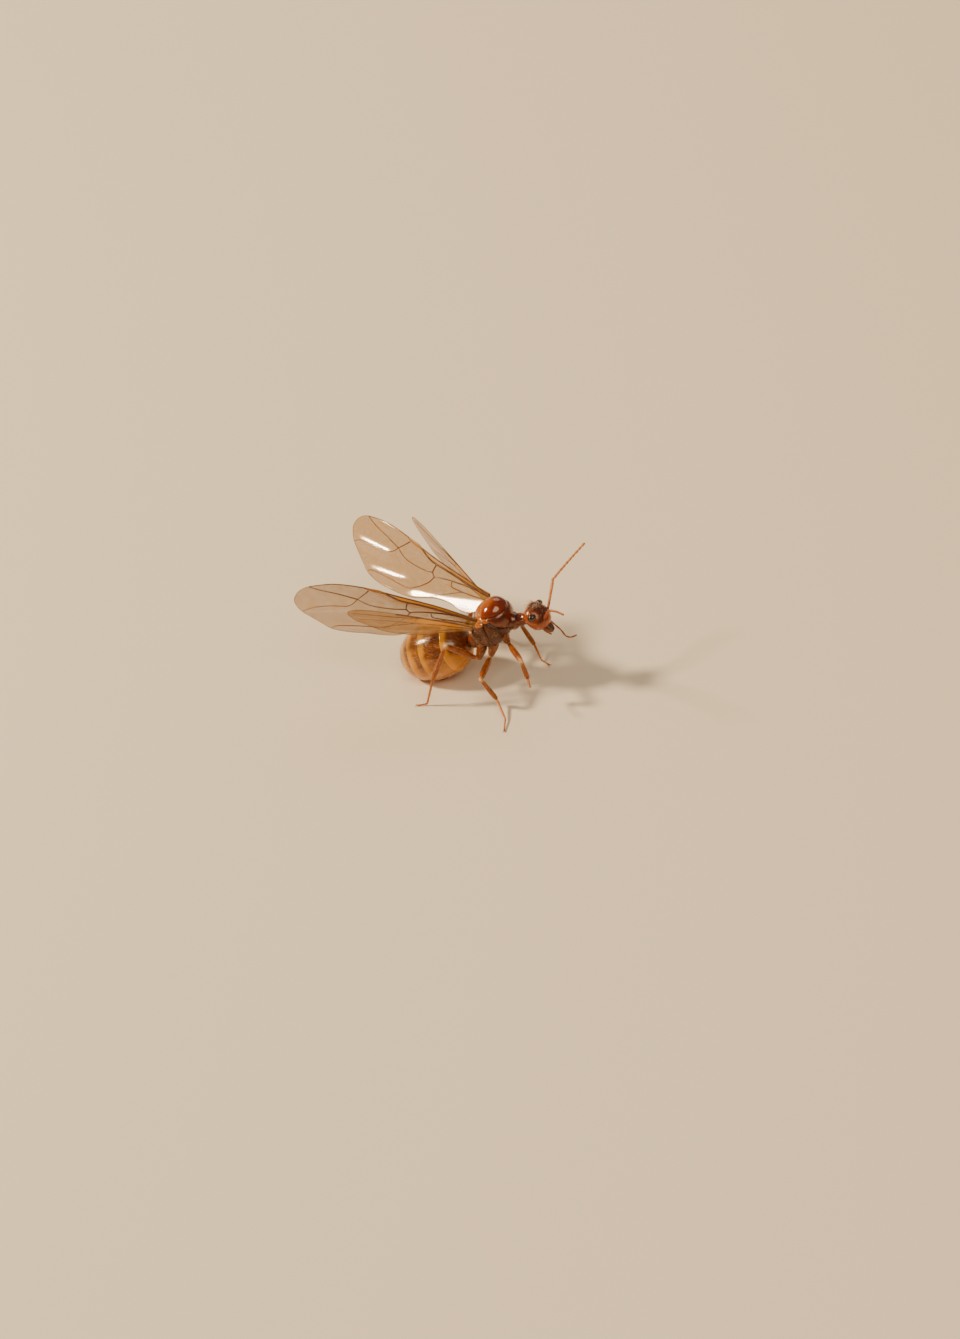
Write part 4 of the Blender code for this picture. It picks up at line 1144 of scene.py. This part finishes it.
def hair_tree():
    """Bent, tapered hairs scattered over a skin, lying the way the skin says."""
    tree, given = node_tree("hairs", (("Per square mm", "Float", 40.0), ("Length", "Float", 0.15),
                                      ("Radius", "Float", 0.005), ("Lean", "Float", 0.8),
                                      ("Seed", "Int", 1), ("Finish", "Material", None)))

    def named(name, kind="FLOAT_VECTOR"):
        told = add(tree, "GeometryNodeInputNamedAttribute", {"Name": name}, data_type=kind)
        return told.outputs["Attribute"]

    def reckon(operation, a, b):
        return add(tree, "ShaderNodeMath", {0: a, 1: b}, operation=operation).outputs[0]

    def scaled(vector, scale):
        node = add(tree, "ShaderNodeVectorMath", {0: vector, "Scale": scale}, operation="SCALE")
        return node.outputs["Vector"]

    def plus(a, b, operation="ADD"):
        return add(tree, "ShaderNodeVectorMath", {0: a, 1: b}, operation=operation).outputs["Vector"]

    def kept(name, last, value):
        return add(tree, "GeometryNodeStoreNamedAttribute",
                   {"Name": name, "Geometry": last, "Value": value}, data_type="FLOAT2",
                   domain="CORNER")

    roots = add(tree, "GeometryNodeDistributePointsOnFaces",
                {"Mesh": given["Geometry"], "Seed": given["Seed"],
                 "Density": reckon("MULTIPLY", given["Per square mm"], named("fur", "FLOAT"))})
    stray = add(tree, "FunctionNodeRandomValue",
                {"Min": (-HAIR_STRAY,) * 3, "Max": (HAIR_STRAY,) * 3, "Seed": given["Seed"]},
                data_type="FLOAT_VECTOR")
    up = scaled(roots.outputs["Normal"], reckon("SUBTRACT", 1.0, given["Lean"]))
    back = scaled(named("lie"), given["Lean"])
    way = plus(plus(up, back), stray.outputs["Value"])
    stand = add(tree, "FunctionNodeAlignRotationToVector", {"Vector": way}, axis="Z")
    turn = add(tree, "FunctionNodeAlignRotationToVector",
               {"Rotation": stand.outputs["Rotation"], "Vector": named("lie")},
               axis="X", pivot_axis="Z")

    hair = add(tree, "GeometryNodeMeshCone", {"Vertices": 4, "Side Segments": 3, "Depth": 1.0,
                                              "Radius Top": 0.15, "Radius Bottom": 1.0})
    patch = kept("patch", hair.outputs["Mesh"], hair.outputs["UV Map"])
    here = add(tree, "ShaderNodeSeparateXYZ",
               {"Vector": add(tree, "GeometryNodeInputPosition").outputs["Position"]})
    curl = scaled((1.0, 0.0, 0.0), reckon("POWER", here.outputs["Z"], 2.0))
    slim = reckon("DIVIDE", given["Length"], given["Radius"])
    bend = add(tree, "GeometryNodeSetPosition",
               {"Geometry": patch.outputs["Geometry"],
                "Offset": scaled(curl, reckon("MULTIPLY", slim, HAIR_BEND))})

    size = add(tree, "ShaderNodeCombineXYZ",
               {"X": given["Radius"], "Y": given["Radius"], "Z": given["Length"]})
    vary = add(tree, "FunctionNodeRandomValue",
               {2: HAIR_SHORTEST, 3: HAIR_LONGEST, "Seed": given["Seed"]}, data_type="FLOAT")
    plant = add(tree, "GeometryNodeInstanceOnPoints",
                {"Points": roots.outputs["Points"], "Instance": bend.outputs["Geometry"],
                 "Rotation": turn.outputs["Rotation"],
                 "Scale": scaled(size.outputs["Vector"], vary.outputs[1])})
    real = add(tree, "GeometryNodeRealizeInstances", {"Geometry": plant.outputs["Instances"]})
    middle = scaled(plus(named("patch"), (0.5, 0.5, 0.0), "SUBTRACT"), HAIR_PATCH)
    unwrap = kept("OFBake", real.outputs["Geometry"], plus(named("skin_uv"), middle))
    dress_out(tree, given, unwrap)
    return tree


hairs = hair_tree()
hair_finish = shell("hair_finish", (0.42, 0.27, 0.13), (0.78, 0.60, 0.38), cells=60.0,
                    relief=0.1, smooth=0.3, dull=0.5, glow=0.0, coat=0.0)
# skins, slot, then hairs per square mm, length, radius and lean
COATS = {
    "gaster_down": (gaster_skins, "gaster_shell", 120.0, 0.14, 0.0034, 0.88),
    "gaster_bristles": (gaster_skins, "gaster_shell", 3.0, 0.34, 0.0075, 0.5),
    "trunk_down": (trunk_skins, "side_shell", 85.0, 0.12, 0.0034, 0.8),
    "trunk_bristles": (trunk_skins, "side_shell", 8.0, 0.26, 0.0055, 0.3),
    "head_down": ([head_skin], "head_shell", 90.0, 0.13, 0.0050, 0.6),
    "head_fringe": ([head_skin], "head_shell", 60.0, 0.24, 0.0085, 0.28),
    "feeler_down": (feeler_skins, "feeler_amber", 160.0, 0.06, 0.0035, 0.6),
    "leg_down": (leg_skins, "leg_amber", 50.0, 0.11, 0.0038, 0.68),
}
for seed, (coat, (skins, slot, thick, long, radius, lean)) in enumerate(COATS.items(), start=11):
    whole = bmesh.new()
    for bm in skins:
        if "fur" not in bm.verts.layers.float:
            paint(bm, "fur", lambda q: 1.0)
        join(whole, bm.copy())
    fur = whole.verts.layers.float["fur"]
    for vert in whole.verts:
        if vert.co.z < long * HAIR_LONGEST:
            vert[fur] = 0.0          # none where it would reach the floor
    mesh = bpy.data.meshes.new("skin")
    whole.to_mesh(mesh)
    whole.free()
    bm = run_tree(mesh, hairs, {"Per square mm": thick, "Length": long, "Radius": radius,
                                "Lean": lean, "Seed": seed, "Finish": hair_finish})
    bm.loops.layers.uv.remove(bm.loops.layers.uv["patch"])
    settle(coat, bm, hair_finish, ())
